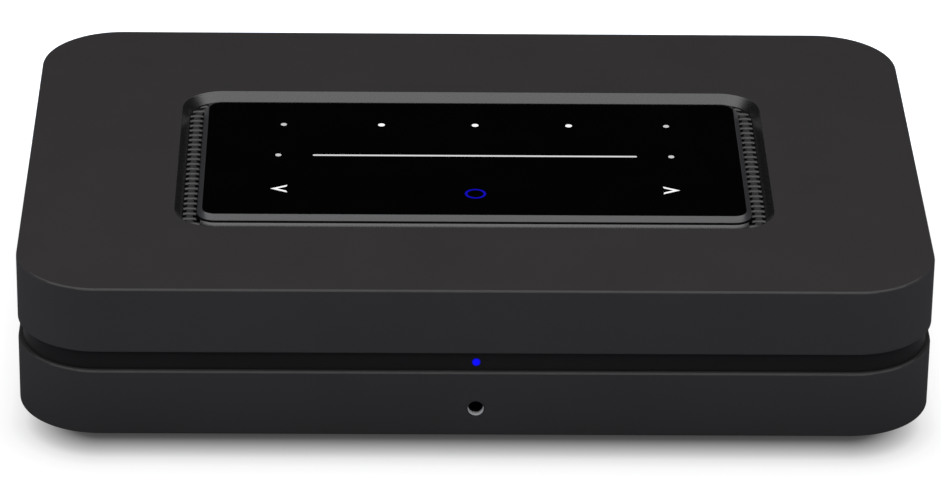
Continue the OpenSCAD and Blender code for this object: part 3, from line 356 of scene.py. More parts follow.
# ABS from a coarser tool, since nobody sees the underside: duller than the blocks.
base_abs = moulded("abs_coarse_grain", "#1f1f20", "#232324", (0.5, 0.62), 0.6, 0.04, 25, 0.35)
dressed(base_abs, "base_plate")

# Silicone rubber, moulded in a dull tool: a soft dark grey that hardly shines.
foot_rubber = moulded("silicone_rubber", "#161617", "#1b1b1c", (0.62, 0.78), 0.3, 0.015, 6, 0.3)
fitted(softened("feet", 0.4), foot_rubber, "streamer", "foot_rubber", "feet")

LINE_DEPTH = 0.004


def metal(name, dark, light, gloss, line_mm, run_mm, along):
    """Drawn, rolled or turned metal: fine lines along one axis in colour, gloss and bump."""
    material, tree, shader = surface(name, {"Metallic": 1.0})
    place = add(tree, "ShaderNodeTexCoord", {}, {}).outputs["Object"]
    finer = [1 / (run_mm * MM) if axis == along else 1 / (line_mm * MM) for axis in "XYZ"]
    drawn = add(tree, "ShaderNodeMapping", {}, {"Vector": place, "Scale": finer})
    lines = add(tree, "ShaderNodeTexNoise", {},
                {"Vector": drawn.outputs["Vector"], "Scale": 1.0, "Detail": 2.0})
    varied(tree, shader, lines, dark, light, lines, gloss)
    bump = add(tree, "ShaderNodeBump", {},
               {"Height": lines.outputs["Fac"], "Strength": 0.3, "Distance": LINE_DEPTH * MM})
    tree.links.new(bump.outputs["Normal"], shader.inputs["Normal"])
    return material


# Steel with a black zinc plating: dark, with a dull grey glint along the turned lines.
screw_zinc = metal("black_zinc_steel", "#2c2c2e", "#4a4a4d", (0.35, 0.5), 0.12, 1.5, "Z")
fitted(softened("case_screws", 0.12), screw_zinc, "streamer", "screw_steel", "case_screws")

# Circuit boards
# The main board carries the digital and audio circuits, a small upright board the front socket and
# light, and a third the touch lights. All are glass-epoxy; the power board is paper-phenolic.
TRACK_PITCH = 9
WEAVE = 0.5
COPPER_T = 0.035


def circuit(name, dark, light, copper, track_mm, gloss):
    """A board under its lacquer: copper tracks that show through, and the weave or paper under them."""
    material, tree, shader = surface(name, {"IOR": 1.55})
    place = add(tree, "ShaderNodeTexCoord", {}, {}).outputs["Object"]
    tracks = add(tree, "ShaderNodeTexVoronoi", {"feature": "DISTANCE_TO_EDGE"},
                 {"Vector": place, "Scale": 1 / (TRACK_PITCH * track_mm * MM)})
    track = add(tree, "ShaderNodeMapRange", {"interpolation_type": "SMOOTHSTEP"},
                {"Value": tracks.outputs["Distance"], "From Min": 0.04, "From Max": 0.08,
                 "To Min": 1.0, "To Max": 0.0})
    weave = add(tree, "ShaderNodeTexNoise", {},
                {"Vector": place, "Scale": 1 / (WEAVE * MM), "Detail": 2.0})
    ground = add(tree, "ShaderNodeMix", {"data_type": "RGBA"},
                 {"Factor": weave.outputs["Fac"], "A": linear(dark), "B": linear(light)})
    tint = add(tree, "ShaderNodeMix", {"data_type": "RGBA"},
               {"Factor": track.outputs["Result"], "A": ground.outputs["Result"], "B": linear(copper)})
    rough = add(tree, "ShaderNodeMapRange", {},
                {"Value": weave.outputs["Fac"], "To Min": gloss[0], "To Max": gloss[1]})
    bump = add(tree, "ShaderNodeBump", {},
               {"Height": track.outputs["Result"], "Strength": 0.5, "Distance": COPPER_T * MM})
    tree.links.new(tint.outputs["Result"], shader.inputs["Base Color"])
    tree.links.new(rough.outputs["Result"], shader.inputs["Roughness"])
    tree.links.new(bump.outputs["Normal"], shader.inputs["Normal"])
    return material


# Glass-epoxy laminate under green solder resist: a wet-looking green with paler tracks.
green_board = circuit("glass_epoxy_green", "#0d3a1f", "#114526", "#1f6338", 0.4, (0.22, 0.32))
dressed(green_board, "main_board", "front_board", "touch_board")

# Paper-phenolic laminate: dull tan, with wide tracks for mains current.
tan_board = circuit("paper_phenolic_tan", "#8a6535", "#96703d", "#a9814a", 1.2, (0.45, 0.6))
dressed(tan_board, "power_board")

# Parts on the boards
# Packages of the usual sizes, soldered down: a processor under a cast heatsink, chips, a shielded
# radio module with its leads and antennas, capacitors, connectors and a ribbon to each small board.

# Epoxy moulding compound: near-black, with the fine sand of its glass filler.
chip_epoxy = moulded("epoxy_moulding", "#151516", "#1c1c1d", (0.5, 0.65), 0.15, 0.01, 5)
dressed(chip_epoxy, "processor", "board_chips", "antennas")

# Aluminium, extruded and anodised: a satin mid grey with lines along the fins.
heatsink_alloy = metal("anodised_aluminium", "#6d6f72", "#85878a", (0.4, 0.55), 0.25, 12, "Y")
dressed(heatsink_alloy, "processor_heatsink")

# Steel sheet with bright tin: pale and smooth, with rolling lines.
tinned_steel = metal("tinned_steel", "#a9abad", "#c6c8ca", (0.22, 0.36), 0.2, 8, "X")
dressed(tinned_steel, "wireless_module", "shutter_pin", "shutter_spring")

# Brass, turned: yellow, with rings of the tool across its length.
pillar_brass = metal("turned_brass", "#a8853f", "#c7a259", (0.25, 0.38), 1.5, 0.15, "Z")
dressed(pillar_brass, "board_standoffs")
dressed(screw_zinc, "board_screws", "touch_screws")

# Polyester sleeve, shrunk on the capacitors' cans: smooth and dark, with a slight orange peel.
sleeve_pet = moulded("polyester_sleeve", "#14171f", "#191d27", (0.28, 0.38), 0.8, 0.01, 6)
dressed(sleeve_pet, "audio_capacitors", "power_capacitors")

# Vinyl: the antennas' grey jacket and the power lead's white wires, both a little waxy.
lead_vinyl = moulded("vinyl_jacket_grey", "#2e2e30", "#363639", (0.4, 0.5), 0.4, 0.01, 8)
dressed(lead_vinyl, "antenna_leads")
wire_vinyl = moulded("vinyl_wire_white", "#c9c6bd", "#d6d3ca", (0.4, 0.5), 0.4, 0.01, 8)
dressed(wire_vinyl, "power_harness")

# Polyester film over flat copper strips: cream, uneven at the strips' pitch of 1 mm.
ribbon_film = moulded("polyester_ribbon", "#cfccc0", "#dedbd0", (0.3, 0.4), 1.0, 0.03, 10)
dressed(ribbon_film, "ribbon_cables")

# Nylon: the connectors' natural white, faintly yellow, with a soft sheen.
white_nylon = moulded("nylon_natural", "#cfcdc4", "#dad8d0", (0.4, 0.5), 0.3, 0.01, 8)
dressed(white_nylon, "board_connectors")

# Power supply
# On its own board beside the main one: fuse, choke, capacitors, and a transformer whose tape-wrapped
# winding sits in a ferrite core, all on the mains side of an isolation gap.

# Flame-proof resin: a brick-like brown that hardly shines.
fuse_resin = moulded("cast_resin_brown", "#5a3322", "#65402c", (0.5, 0.62), 0.5, 0.02, 4)
dressed(fuse_resin, "mains_fuse")

# Ferrite, pressed and fired: dark grey and dull.
ferrite = moulded("fired_ferrite", "#26272a", "#303134", (0.55, 0.7), 0.2, 0.02, 3)
dressed(ferrite, "transformer_core")

# Polyester tape over enamelled copper: amber and glossy, uneven over turns of 0.5 mm.
winding_tape = moulded("amber_tape", "#8c5a24", "#a36c30", (0.25, 0.35), 0.5, 0.04, 5)
dressed(winding_tape, "transformer_winding", "filter_choke")

# Front socket and light
# A 3.5 mm headphone socket on the front board, whose black nose stands in a hole in the lower block.
# Above it a clear rod carries a blue light from the board to the band; beside it sits the receiver
# for a remote control, behind the band.

# PBT, moulded: a plain black with a slight sheen.
socket_pbt = moulded("pbt_black", "#161618", "#1b1b1d", (0.38, 0.48), 0.3, 0.01, 6)
jack_w = 11.0
jack_l = 13.8
jack_h = 8.0
jack_depth = 13.0
bore_r = 1.8
nose_r = 2.075
nose_set_back = 0.1
front_in = front_y + wall_t
bore_end = front_y + jack_depth
jack_body = slab((-jack_w / 2, front_in, jack_z - jack_h / 2),
                 (jack_w / 2, front_in + jack_l, jack_z + jack_h / 2))
jack_body.name = "headphone_body"
worked(jack_body, "DIFFERENCE", [
    rod(0, front_in - OVERCUT, jack_z, bore_r, bore_end - front_in + OVERCUT, "Y")])
fitted(shaded(jack_body), socket_pbt, "streamer", "socket_black", "headphone_jack")

# The nose's mouth narrows like a funnel to the bore, so its lower wall catches the light from above.
COLLAR_STEPS = 48
mouth_r = 1.96
throat = 1.7
lip = 0.05


def collar_ring(r, depth):
    """A ring round the socket's middle line at a depth behind the front face."""
    turns = [2 * math.pi * k / COLLAR_STEPS for k in range(COLLAR_STEPS)]
    return [(r * math.cos(a), front_y + depth, jack_z + r * math.sin(a)) for a in turns]


collar = lofted("headphone_collar", [
    collar_ring(nose_r, front_in - front_y), collar_ring(nose_r, nose_set_back + lip),
    collar_ring(nose_r - lip, nose_set_back), collar_ring(mouth_r, nose_set_back),
    collar_ring(mouth_r - lip, nose_set_back + lip), collar_ring(bore_r, throat),
    collar_ring(bore_r, front_in - front_y)], False)

# Pale PBT lines the nose's mouth, and its lower half shows as a crescent.
liner_pbt = moulded("pbt_pale", "#b4b4b4", "#bebebe", (0.4, 0.5), 0.3, 0.01, 6)
fitted(shaded(collar), socket_pbt, "streamer", "socket_black", "headphone_jack")


def in_mouth(middle, normal):
    """Whether a face of the nose lies in its funnel."""
    in_depth = nose_set_back + lip < middle.y - front_y < throat
    return in_depth and math.hypot(middle.x, middle.z - jack_z) < mouth_r


marked(collar, liner_pbt, in_mouth)

GLOW_CLOUD = 0.8
GLOW_SHINE = 0.05


def glowing(name, dark, light, glow, strength, gloss):
    """A lit plastic or print: its own light over a body that is dark when it isn't lit."""
    material, tree, shader = surface(name, {
        "Emission Color": linear(glow), "Emission Strength": strength, "Specular IOR Level": GLOW_SHINE})
    place = add(tree, "ShaderNodeTexCoord", {}, {}).outputs["Object"]
    cloud = add(tree, "ShaderNodeTexNoise", {},
                {"Vector": place, "Scale": 1 / (GLOW_CLOUD * MM), "Detail": 2.0})
    varied(tree, shader, cloud, dark, light, cloud, gloss)
    return material


# Acrylic rod, polished: lit from behind, so its end is a saturated blue that dims towards its rim.
lit_acrylic = glowing("acrylic_lit_blue", "#020210", "#030318", "#0000ff", 1.0, (0.3, 0.4))
pipe_low, pipe_high = mm_box("status_light_pipe")
pipe_axis = (pipe_low + pipe_high) / 2 * MM
CORE_R = 0.55
RIM_R = 1.3
RIM_GLOW = 0.12
tree = lit_acrylic.node_tree
place = add(tree, "ShaderNodeTexCoord", {}, {}).outputs["Object"]
across = add(tree, "ShaderNodeVectorMath", {"operation": "SUBTRACT"}, {0: place, 1: pipe_axis})
across = add(tree, "ShaderNodeVectorMath", {"operation": "MULTIPLY"},
             {0: across.outputs["Vector"], 1: (1, 0, 1)})
across = add(tree, "ShaderNodeVectorMath", {"operation": "LENGTH"}, {0: across.outputs["Vector"]})
beam = add(tree, "ShaderNodeMapRange", {"interpolation_type": "SMOOTHSTEP"}, {
    "Value": across.outputs["Value"], "From Min": CORE_R * MM, "From Max": RIM_R * MM,
    "To Min": 1.0, "To Max": RIM_GLOW})
tree.links.new(beam.outputs["Result"], tree.nodes["Principled BSDF"].inputs["Emission Strength"])
dressed(lit_acrylic, "status_light_pipe")

# Silicone, over each light and in the mask round them: milky.
light_silicone = moulded("silicone_milky", "#d8d8d2", "#e4e4de", (0.35, 0.45), 0.5, 0.01, 4)
dressed(light_silicone, "status_led", "touch_leds", "light_guide")

# Epoxy that passes only infrared: almost black, with a polished lens.
receiver_epoxy = moulded("infrared_epoxy", "#0c080c", "#120d12", (0.12, 0.2), 0.5, 0.005, 4)
dressed(receiver_epoxy, "infrared_receiver")

# Rear sockets
# Bought sockets soldered along the rear edge of the main board, and a mains inlet on the power board.
# Plated shells are pressed from sheet, bodies are moulded PBT, and phono sleeves are turned brass.

# Nickel plating: bright and smooth, a little warm.
nickel = metal("bright_nickel", "#b4b2ad", "#cbc9c4", (0.22, 0.34), 0.1, 1.0, "X")

# Gold over nickel, turned: a warm yellow mirror with faint turning rings.
gold_plate = metal("gold_plate", "#c79a3f", "#e0b860", (0.16, 0.28), 0.1, 1.2, "X")

# PBT, dyed for the right and left channels: the same slight sheen as the black.
red_pbt = moulded("pbt_red", "#8e1516", "#a01b1a", (0.35, 0.45), 0.3, 0.01, 6)
white_pbt = moulded("pbt_white", "#d2d1cb", "#dcdbd6", (0.35, 0.45), 0.3, 0.01, 6)
for node, round_mm, material, slot in (
        ("rca_housings", 0.25, socket_pbt, "socket_black"),
        ("rca_sleeves", 0.12, gold_plate, "gold_plate"),
        ("rca_insulator_white", 0.15, white_pbt, "socket_white"),
        ("rca_insulator_red", 0.15, red_pbt, "socket_red"),
        ("rca_insulators_black", 0.15, socket_pbt, "socket_black"),
        ("rca_contacts", 0.08, gold_plate, "gold_plate"),
        ("optical_housing", 0.2, socket_pbt, "socket_black"),
        ("rear_jacks", 0.15, socket_pbt, "socket_black"),
        ("hdmi_shell", 0.08, tinned_steel, "tinned_steel"),
        ("hdmi_tongue", 0.12, socket_pbt, "socket_black"),
        ("usb_shell", 0.08, tinned_steel, "tinned_steel"),
        ("usb_tongue", 0.12, white_nylon, "socket_white"),
        ("ethernet_socket", 0.2, tinned_steel, "tinned_steel"),
        ("ethernet_contacts", 0.04, gold_plate, "gold_plate"),
        ("mains_inlet", 0.3, socket_pbt, "socket_black"),
        ("mains_pins", 0.3, nickel, "tinned_steel")):
    fitted(softened(node, round_mm), material, "streamer", slot, node)

# The optical socket's shutter is a separate PBT flap that swings inwards on its pin.
fitted(softened("optical_shutter", 0.12), socket_pbt, "shutter", "socket_black", "optical_shutter")

# Rear panel
# Folded steel sheet with a punched hole for each socket, set back in the case, with a return at each
# end. Two screws hold it to the phono sockets.

# Steel with a fine black powder coat: dull, with a small orange peel.
powder_coat = moulded("powder_coat_black", "#1a1a1b", "#1f1f20", (0.45, 0.58), 0.5, 0.03, 30, 0.4)
fitted(softened("rear_panel", 0.2), powder_coat, "streamer", "rear_steel", "rear_panel")
fitted(softened("rear_panel_screws", 0.12), screw_zinc, "streamer", "screw_steel", "rear_panel_screws")

# Band
# A ring of dark polycarbonate between the blocks, with a lip into each. It passes infrared, so the
# remote's receiver can sit behind it.

# Polycarbonate, moulded in a dull tool: nearly black, with no shine.
band_pc = moulded("polycarbonate_smoke", "#1a1818", "#1d1b1b", (0.5, 0.6), 0.5, 0.006, 30, 0.01)
dressed(band_pc, "centre_band")

# Upper block
# The second ABS moulding: walls, a roof, and a recess in the roof with sloping sides, polished in the
# mould. Its floor curls up towards the touch panel, and a slot at each end takes a comb of vent ribs.
glass_low, glass_high = mm_box("touch_glass")
panel_low, panel_high = mm_box("touch_bezel")
band_top = mm_box("centre_band")[1].z
band_lip = 2.0
roof_t = 2.6
top_z = panel_high.z
upper_z = band_top - band_lip
roof_z = top_z - roof_t
panel_y = (glass_low.y + glass_high.y) / 2
panel_w = panel_high.x - panel_low.x
frame_margin = (panel_w - (glass_high.x - glass_low.x)) / 2
panel_d = glass_high.y - glass_low.y + 2 * frame_margin
panel_r = 4.5
panel_gap = 5.5
bevel_run = 1.8
recess_depth = 2.35
pan_t = 2.4
recess_z = top_z - recess_depth
pan_z = recess_z - pan_t
pan_rim = 2.8
lip_r = 0.22
fit = 0.2
cove_run = 2.4
cove_rise = 0.62
COVE_STEPS = 6
LIP_STEPS = 4


def panel_ring(grow, z):
    """The touch panel's outline, grown by a margin."""
    return outline(panel_w + 2 * grow, panel_d + 2 * grow, panel_r + grow, panel_y, z)


cove = []
for step in range(COVE_STEPS + 1):
    climb = step / COVE_STEPS
    cove.append(panel_ring(fit + cove_run * (1 - climb), recess_z + cove_rise * climb ** 2))
slope = math.atan2(top_z - recess_z, bevel_run)
shoulder = []
for step in range(LIP_STEPS + 1):
    t = step / LIP_STEPS
    out = lip_r * ((1 - t) ** 2 - t ** 2 * math.cos(slope))
    shoulder.append(panel_ring(panel_gap + out, top_z - lip_r * t ** 2 * math.sin(slope)))
skirt = [block_ring(run, upper_z + drop) for run, drop in reversed(rounding(low_edge_r))]
brow = [block_ring(run, top_z - drop) for run, drop in rounding(edge_r)]
upper_block = lofted("upper_block", [
    block_ring(wall_t, roof_z), block_ring(wall_t, upper_z)] + skirt + brow + shoulder + [
    panel_ring(panel_gap - bevel_run, recess_z)] + cove + [
    panel_ring(fit, pan_z), panel_ring(panel_gap + pan_rim, pan_z),
    panel_ring(panel_gap + pan_rim, roof_z)], False)

vent_l = 70.05
vent_half = vent_l / 2
vent_land = 0.1
vent_skip = 3.6
vent_turn = panel_w / 2 - panel_r
vent_in = vent_turn + vent_skip
vent_grow = panel_gap - bevel_run - vent_land


def vent_slot(side):
    """The opening for one comb: the recess floor's end, up to the panel's corners."""
    room = lofted("tool", [
        panel_ring(vent_grow, pan_z - OVERCUT), panel_ring(vent_grow, recess_z + OVERCUT)], True)
    low_x, high_x = sorted((side * vent_in, side * body_w / 2))
    return worked(room, "INTERSECT", [slab((low_x, panel_y - vent_half - fit, pan_z - 2 * OVERCUT),
                                           (high_x, panel_y + vent_half + fit, top_z))])


case_bite = 12.2
case_thread_r = 1.55
worked(upper_block, "UNION", [rod(x, y, lower_top, post_r, roof_z + root - lower_top) for x, y in posts])
worked(upper_block, "DIFFERENCE", [
    rod(x, y, lower_top - OVERCUT, case_thread_r, case_bite + OVERCUT) for x, y in posts] + [
    vent_slot(-1), vent_slot(1),
    slab((-cut_half, body_d / 2 - wall_t - OVERCUT, upper_z - OVERCUT),
         (cut_half, body_d / 2 + OVERCUT, roof_z - cut_sill))])
fitted(shaded(upper_block), shell_abs, "streamer", "shell_plastic", "upper_shell")

# ABS from the polished part of the same tool: darker, and bright only where it mirrors the light.
recess_abs = moulded("abs_polished", "#0b0b0c", "#0e0e0f", (0.24, 0.3), 0.3, 0.002, 12, 1.0)


def in_recess(middle, normal):
    """Whether a face of the block lies on the recess's slope or floor."""
    in_width = abs(middle.x) < panel_w / 2 + panel_gap
    in_depth = abs(middle.y - panel_y) < panel_d / 2 + panel_gap
    return in_width and in_depth and recess_z - lip_r < middle.z < top_z - lip_r / 2


# The upper block's upper edge gets its painted highlight.
paint_rim_highlight(upper_block, top_z)
marked(upper_block, recess_abs, in_recess)

# Vent ribs
# A moulded comb at each end of the panel: crowned ribs on a rail that turns with the panel's corners,
# clipped under the roof by a foot. Warm air leaves through the holes at both sides of the rail.
rib_pitch = 2.75
rib_w = 1.3
rib_count = 26
rib_root = 0.7
rib_crown = 0.2
vent_gap = 0.1
rail_w = 1.6
rail_drop = 0.35
rail_crown = 0.2
foot_h = 1.4
foot_w = 3.0
foot_bite = 0.5
RIB_STEPS = 8
CROWN_STEPS = 6


def rib_reach(y):
    """Where a rib starts and ends in X, between the panel's outline and the foot of the slope."""
    turn = max(abs(y - panel_y) - (panel_d / 2 - panel_r), 0)
    inner = max((panel_r + fit) ** 2 - turn ** 2, 0)
    outer = (panel_r + vent_grow - vent_gap) ** 2 - turn ** 2
    return max(vent_in, vent_turn + math.sqrt(inner)), vent_turn + math.sqrt(outer)


def comb(name, side):
    """The ribs, rail and foot of one end."""
    bm = bmesh.new()
    for k in range(rib_count):
        y = panel_y + (k - (rib_count - 1) / 2) * rib_pitch
        turns = [math.pi * s / RIB_STEPS for s in range(RIB_STEPS + 1)]
        arch = [(y + rib_w / 2 * math.cos(a), recess_z - rib_w / 2 * (1 - math.sin(a))) for a in turns]
        section = [(y + rib_w / 2, pan_z - rib_root)] + arch + [(y - rib_w / 2, pan_z - rib_root)]
        rings = []
        for step in range(CROWN_STEPS + 1):
            along = step / CROWN_STEPS
            dip = rib_crown * (2 * along - 1) ** 2
            ring = []
            for py, pz in section:
                start, end = rib_reach(py)
                ring.append((side * (start + along * (end - start)), py, pz - dip if pz > pan_z else pz))
            rings.append(ring)
        skin(bm, rings, True)
    ribs = mesh_piece("tool", bm)
    rail_in = fit + (vent_grow - vent_gap - fit - rail_w) / 2
    crest = recess_z - rail_drop
    profile = [(rail_in, pan_z - rib_root)]
    for step in range(CROWN_STEPS + 1):
        along = step / CROWN_STEPS
        profile.append((rail_in + rail_w * along, crest - rail_crown * (2 * along - 1) ** 2))
    profile.append((rail_in + rail_w, pan_z - rib_root))
    rail = lofted(name, [panel_ring(grow, z) for grow, z in profile], False)
    low_x, high_x = sorted((side * vent_in, side * body_w / 2))
    worked(rail, "INTERSECT", [slab((low_x, panel_y - vent_half, pan_z - 2 * OVERCUT),
                                    (high_x, panel_y + vent_half, top_z))])
    hook = vent_turn + panel_r + vent_grow - vent_gap
    low_x, high_x = sorted((side * (hook - foot_bite), side * (hook + foot_w)))
    hook_half = panel_d / 2 - panel_r
    foot = slab((low_x, panel_y - hook_half, pan_z - foot_h), (high_x, panel_y + hook_half, pan_z))
    return worked(rail, "UNION", [ribs, foot])


# ABS from a satin tool: a dark grey that turns pale along the ribs' crowns.
vent_abs = moulded("abs_satin_vent", "#2e2e2f", "#333334", (0.26, 0.34), 0.3, 0.008, 12, 0.5)

# Painted shade: ABS coloured black on the walls of narrow holes and gaps, so that they send no light out.
gap_shade_abs = moulded("abs_painted_gap_shade", "#0c0c0d", "#0f0f10", (0.6, 0.7), 0.35, 0.02, 22, 0.05)
WALL_TILT = 0.35
# The steep walls round each comb's holes get painted shade.
for end, side in (("left", -1), ("right", 1)):
    vent = shaded(comb("vent_ribs_" + end, side))
    fitted(vent, vent_abs, "streamer", "vent_plastic", "vent_grille_" + end)
    marked(vent, gap_shade_abs, lambda middle, normal: normal.z < WALL_TILT)

# Touch panel
# A satin ABS frame with a chamfered edge, screwed up under the roof by four tabs, holds a black glass
# flush with the roof. Its marks are windows in the glass's back print, lit from the board below.
frame_low = panel_low.z
glass_bed = glass_low.z
chamfer = 1.1
crest = 0.15
window = 6.2
window_r = 1.5
break_r = 0.12
break_rise = 0.4 * break_r
crest_run = 0.3 * crest
window_w = panel_w - 2 * window
window_d = panel_d - 2 * window
frame_rings = [panel_ring(0, frame_low), panel_ring(0, top_z - chamfer - break_r),
               panel_ring(-break_r, top_z - chamfer + break_rise),
               panel_ring(-chamfer + break_r, top_z - break_r), panel_ring(-chamfer - crest_run, top_z),
               panel_ring(-chamfer - crest, top_z), panel_ring(-chamfer - crest, glass_bed),
               outline(window_w, window_d, window_r, panel_y, glass_bed),
               outline(window_w, window_d, window_r, panel_y, frame_low)]
touch_frame = lofted("touch_frame", frame_rings, False)
tab_x = 40.0
tab_w = 12.0
tab_l = 6.5
tab_t = 1.7
tab_hole = 3.6
tab_hole_r = 1.2
tabs = [(sx * tab_x, sy) for sx, sy in TURNS]
edge_y = panel_d / 2 - root
worked(touch_frame, "UNION", [
    slab((x - tab_w / 2, panel_y + min(sy * edge_y, sy * (panel_d / 2 + tab_l)), frame_low),
         (x + tab_w / 2, panel_y + max(sy * edge_y, sy * (panel_d / 2 + tab_l)), frame_low + tab_t))
    for x, sy in tabs])
worked(touch_frame, "DIFFERENCE", [
    rod(x, panel_y + sy * (panel_d / 2 + tab_hole), frame_low - OVERCUT, tab_hole_r, tab_t + 2 * OVERCUT)
    for x, sy in tabs])

# ABS, moulded in a satin tool: a dark grey that turns pale along the chamfer.
frame_abs = moulded("abs_satin_frame", "#303032", "#353537", (0.27, 0.3), 0.3, 0.001, 15, 0.7)
fitted(shaded(touch_frame), frame_abs, "streamer", "bezel_plastic", "touch_bezel")

# Under its chamfer the frame gets painted shade: dull and black.
marked(touch_frame, gap_shade_abs, lambda middle, normal: middle.z < top_z - chamfer - break_r / 2)

inlay_t = 0.03
inlay_sink = 0.01
glass_top = glass_high.z - inlay_t - inlay_sink
glass_edge_r = 0.2


def glass_ring(inset, z):
    """The glass's outline, drawn in by an inset."""
    return outline(glass_high.x - glass_low.x - 2 * inset, glass_high.y - glass_low.y - 2 * inset,
                   panel_r - frame_margin - inset, panel_y, z)


touch_glass = lofted("touch_glass_plate", [glass_ring(0, glass_bed)] + [
    glass_ring(run, glass_top - drop) for run, drop in rounding(glass_edge_r)], True)

SMUDGE = 14
COAT_SHINE = 0.03


def smudged_glass():
    """Black glass with a faint haze where fingers have touched it."""
    material, tree, shader = surface("glass_black_print", {"IOR": 1.52, "Specular IOR Level": COAT_SHINE})
    place = add(tree, "ShaderNodeTexCoord", {}, {}).outputs["Object"]
    haze = add(tree, "ShaderNodeTexNoise", {},
               {"Vector": place, "Scale": 1 / (SMUDGE * MM), "Detail": 4.0})
    varied(tree, shader, haze, "#000000", "#020202", haze, (0.04, 0.14))
    return material


# Toughened glass, printed black on its back, with an anti-reflection coat: deep black, little glare.
fitted(shaded(touch_glass), smudged_glass(), "streamer", "panel_glass", "touch_glass")

row_x = 0.8
row_y = panel_y + 18.7
row_inner = 23.55
row_outer = 48.1
mid_x = 0.5
mid_y = panel_y + 1.2
side_x = 48.85
line_l = 80.6
line_w = 0.75
dot_r = 0.85
dim_dot_r = 0.75
ring_x = 0.32
ring_y = panel_y - 19.95
ring_r = 2.6
ring_w = 0.6
arrow_x = 48.2
arrow_y = panel_y - 17.6
arrow_l = 4.1
arrow_h = 4.1
arrow_tip = 1.6
arrow_cut = 0.2
ROUND_STEPS = 32


def circle(x, y, r):
    """Points of a circle on the glass."""
    turns = [2 * math.pi * k / ROUND_STEPS for k in range(ROUND_STEPS)]
    return [(x + r * math.cos(a), y + r * math.sin(a)) for a in turns]


def inlay(name, shapes, material):
    """Thin prints in the glass, each a closed plate with the outline of its mark."""
    bm = bmesh.new()
    for shape in shapes:
        low = [bm.verts.new((x, y, glass_top)) for x, y in shape]
        high = [bm.verts.new((x, y, glass_top + inlay_t)) for x, y in shape]
        bm.faces.new(low)
        bm.faces.new(high)
        for k in range(len(shape)):
            after = (k + 1) % len(shape)
            bm.faces.new((low[k], low[after], high[after], high[k]))
    piece = mesh_piece(name, bm)
    piece.data.materials.append(material)
    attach(piece, "streamer")


# Lit print: an even white, a light grey where it is dimmer, and blue for the ring. Unlit, a window is
# nearly black.
lit_print = glowing("print_lit_white", "#0a0a0a", "#0e0e0e", "#ffffff", 1.0, (0.3, 0.4))
line_print = glowing("print_lit_line", "#0a0a0a", "#0e0e0e", "#ffffff", 0.7, (0.3, 0.4))
dim_print = glowing("print_lit_dim", "#0a0a0a", "#0e0e0e", "#ffffff", 0.6, (0.3, 0.4))
blue_print = glowing("print_lit_blue", "#020210", "#030318", "#1a12ff", 0.45, (0.3, 0.4))
half_line = line_l / 2 - line_w / 2
quarter = ROUND_STEPS // 4
volume_line = []
for end in (-1, 1):
    for k in range(-quarter, quarter + 1):
        a = 2 * math.pi * k / ROUND_STEPS
        volume_line.append((mid_x + end * (half_line + line_w / 2 * math.cos(a)),
                            mid_y + end * line_w / 2 * math.sin(a)))
bright_dots = [circle(row_x + x, row_y, dot_r) for x in (-row_inner, 0, row_inner)]
dim_dots = [circle(row_x + x, row_y, dim_dot_r) for x in (-row_outer, row_outer)]
side_dots = [circle(mid_x + s * side_x, mid_y, dim_dot_r) for s in (-1, 1)]
arrows = []
for s in (-1, 1):
    tip, back = arrow_x + arrow_l / 2, arrow_x - arrow_l / 2
    inner_y = (arrow_l - arrow_tip - arrow_cut) * arrow_h / 2 / arrow_l
    half = [(back, arrow_h / 2), (back + arrow_cut, inner_y), (tip - arrow_tip, 0),
            (back + arrow_cut, -inner_y), (back, -arrow_h / 2), (tip, 0)]
    arrows.append([(ring_x + s * x, arrow_y + y) for x, y in half])
inlay("marks_bright", bright_dots + arrows, lit_print)
inlay("mark_line", [volume_line], line_print)
inlay("marks_dim", dim_dots + side_dots, dim_print)
ring_loops = [[(x, y, z) for x, y in circle(ring_x, ring_y, r)]
              for r, z in ((ring_r, glass_top), (ring_r, glass_top + inlay_t),
                           (ring_r - ring_w, glass_top + inlay_t), (ring_r - ring_w, glass_top))]
blue_ring = lofted("mark_ring", ring_loops, False)
blue_ring.data.materials.append(blue_print)
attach(blue_ring, "streamer")

# Studio
# A wide pale paper floor, a large soft light overhead that reaches forward over the object, a
# smaller one at each front corner, and a dim room. The paper carries a painted shadow round the
# object, in its colour and in its lift to white for the eye and for reflections.
FLOOR_SIZE = 9000
bm = bmesh.new()
bmesh.ops.create_grid(bm, x_segments=1, y_segments=1, size=FLOOR_SIZE / 2)
floor = mesh_piece("paper_floor", bm)

# Matt paper: a cool white with no reflection, with a painted shadow that darkens it softly round the
# object's edge.
paper, tree, shader = surface("matte_paper", {
    "Roughness": 0.9, "Specular IOR Level": 0.1, "Emission Color": linear("#ffffff")})
path = add(tree, "ShaderNodeLightPath", {}, {})
seen = add(tree, "ShaderNodeMath", {"operation": "MAXIMUM"},
           {0: path.outputs["Is Camera Ray"], 1: path.outputs["Is Glossy Ray"]})
seen = add(tree, "ShaderNodeMath", {"operation": "MAXIMUM"},
           {0: seen.outputs["Value"], 1: path.outputs["Is Transmission Ray"]})
place = add(tree, "ShaderNodeTexCoord", {}, {}).outputs["Object"]
away = add(tree, "ShaderNodeVectorMath", {"operation": "ABSOLUTE"}, {0: place})
away = add(tree, "ShaderNodeVectorMath", {"operation": "SUBTRACT"},
           {0: away.outputs["Vector"], 1: ((body_w / 2 - body_r) * MM, (body_d / 2 - body_r) * MM, 0)})
away = add(tree, "ShaderNodeVectorMath", {"operation": "MAXIMUM"}, {0: away.outputs["Vector"], 1: (0, 0, 0)})
away = add(tree, "ShaderNodeVectorMath", {"operation": "LENGTH"}, {0: away.outputs["Vector"]})
REACH = 60
share = add(tree, "ShaderNodeMapRange", {}, {"Value": away.outputs["Value"], "From Max": REACH * MM})


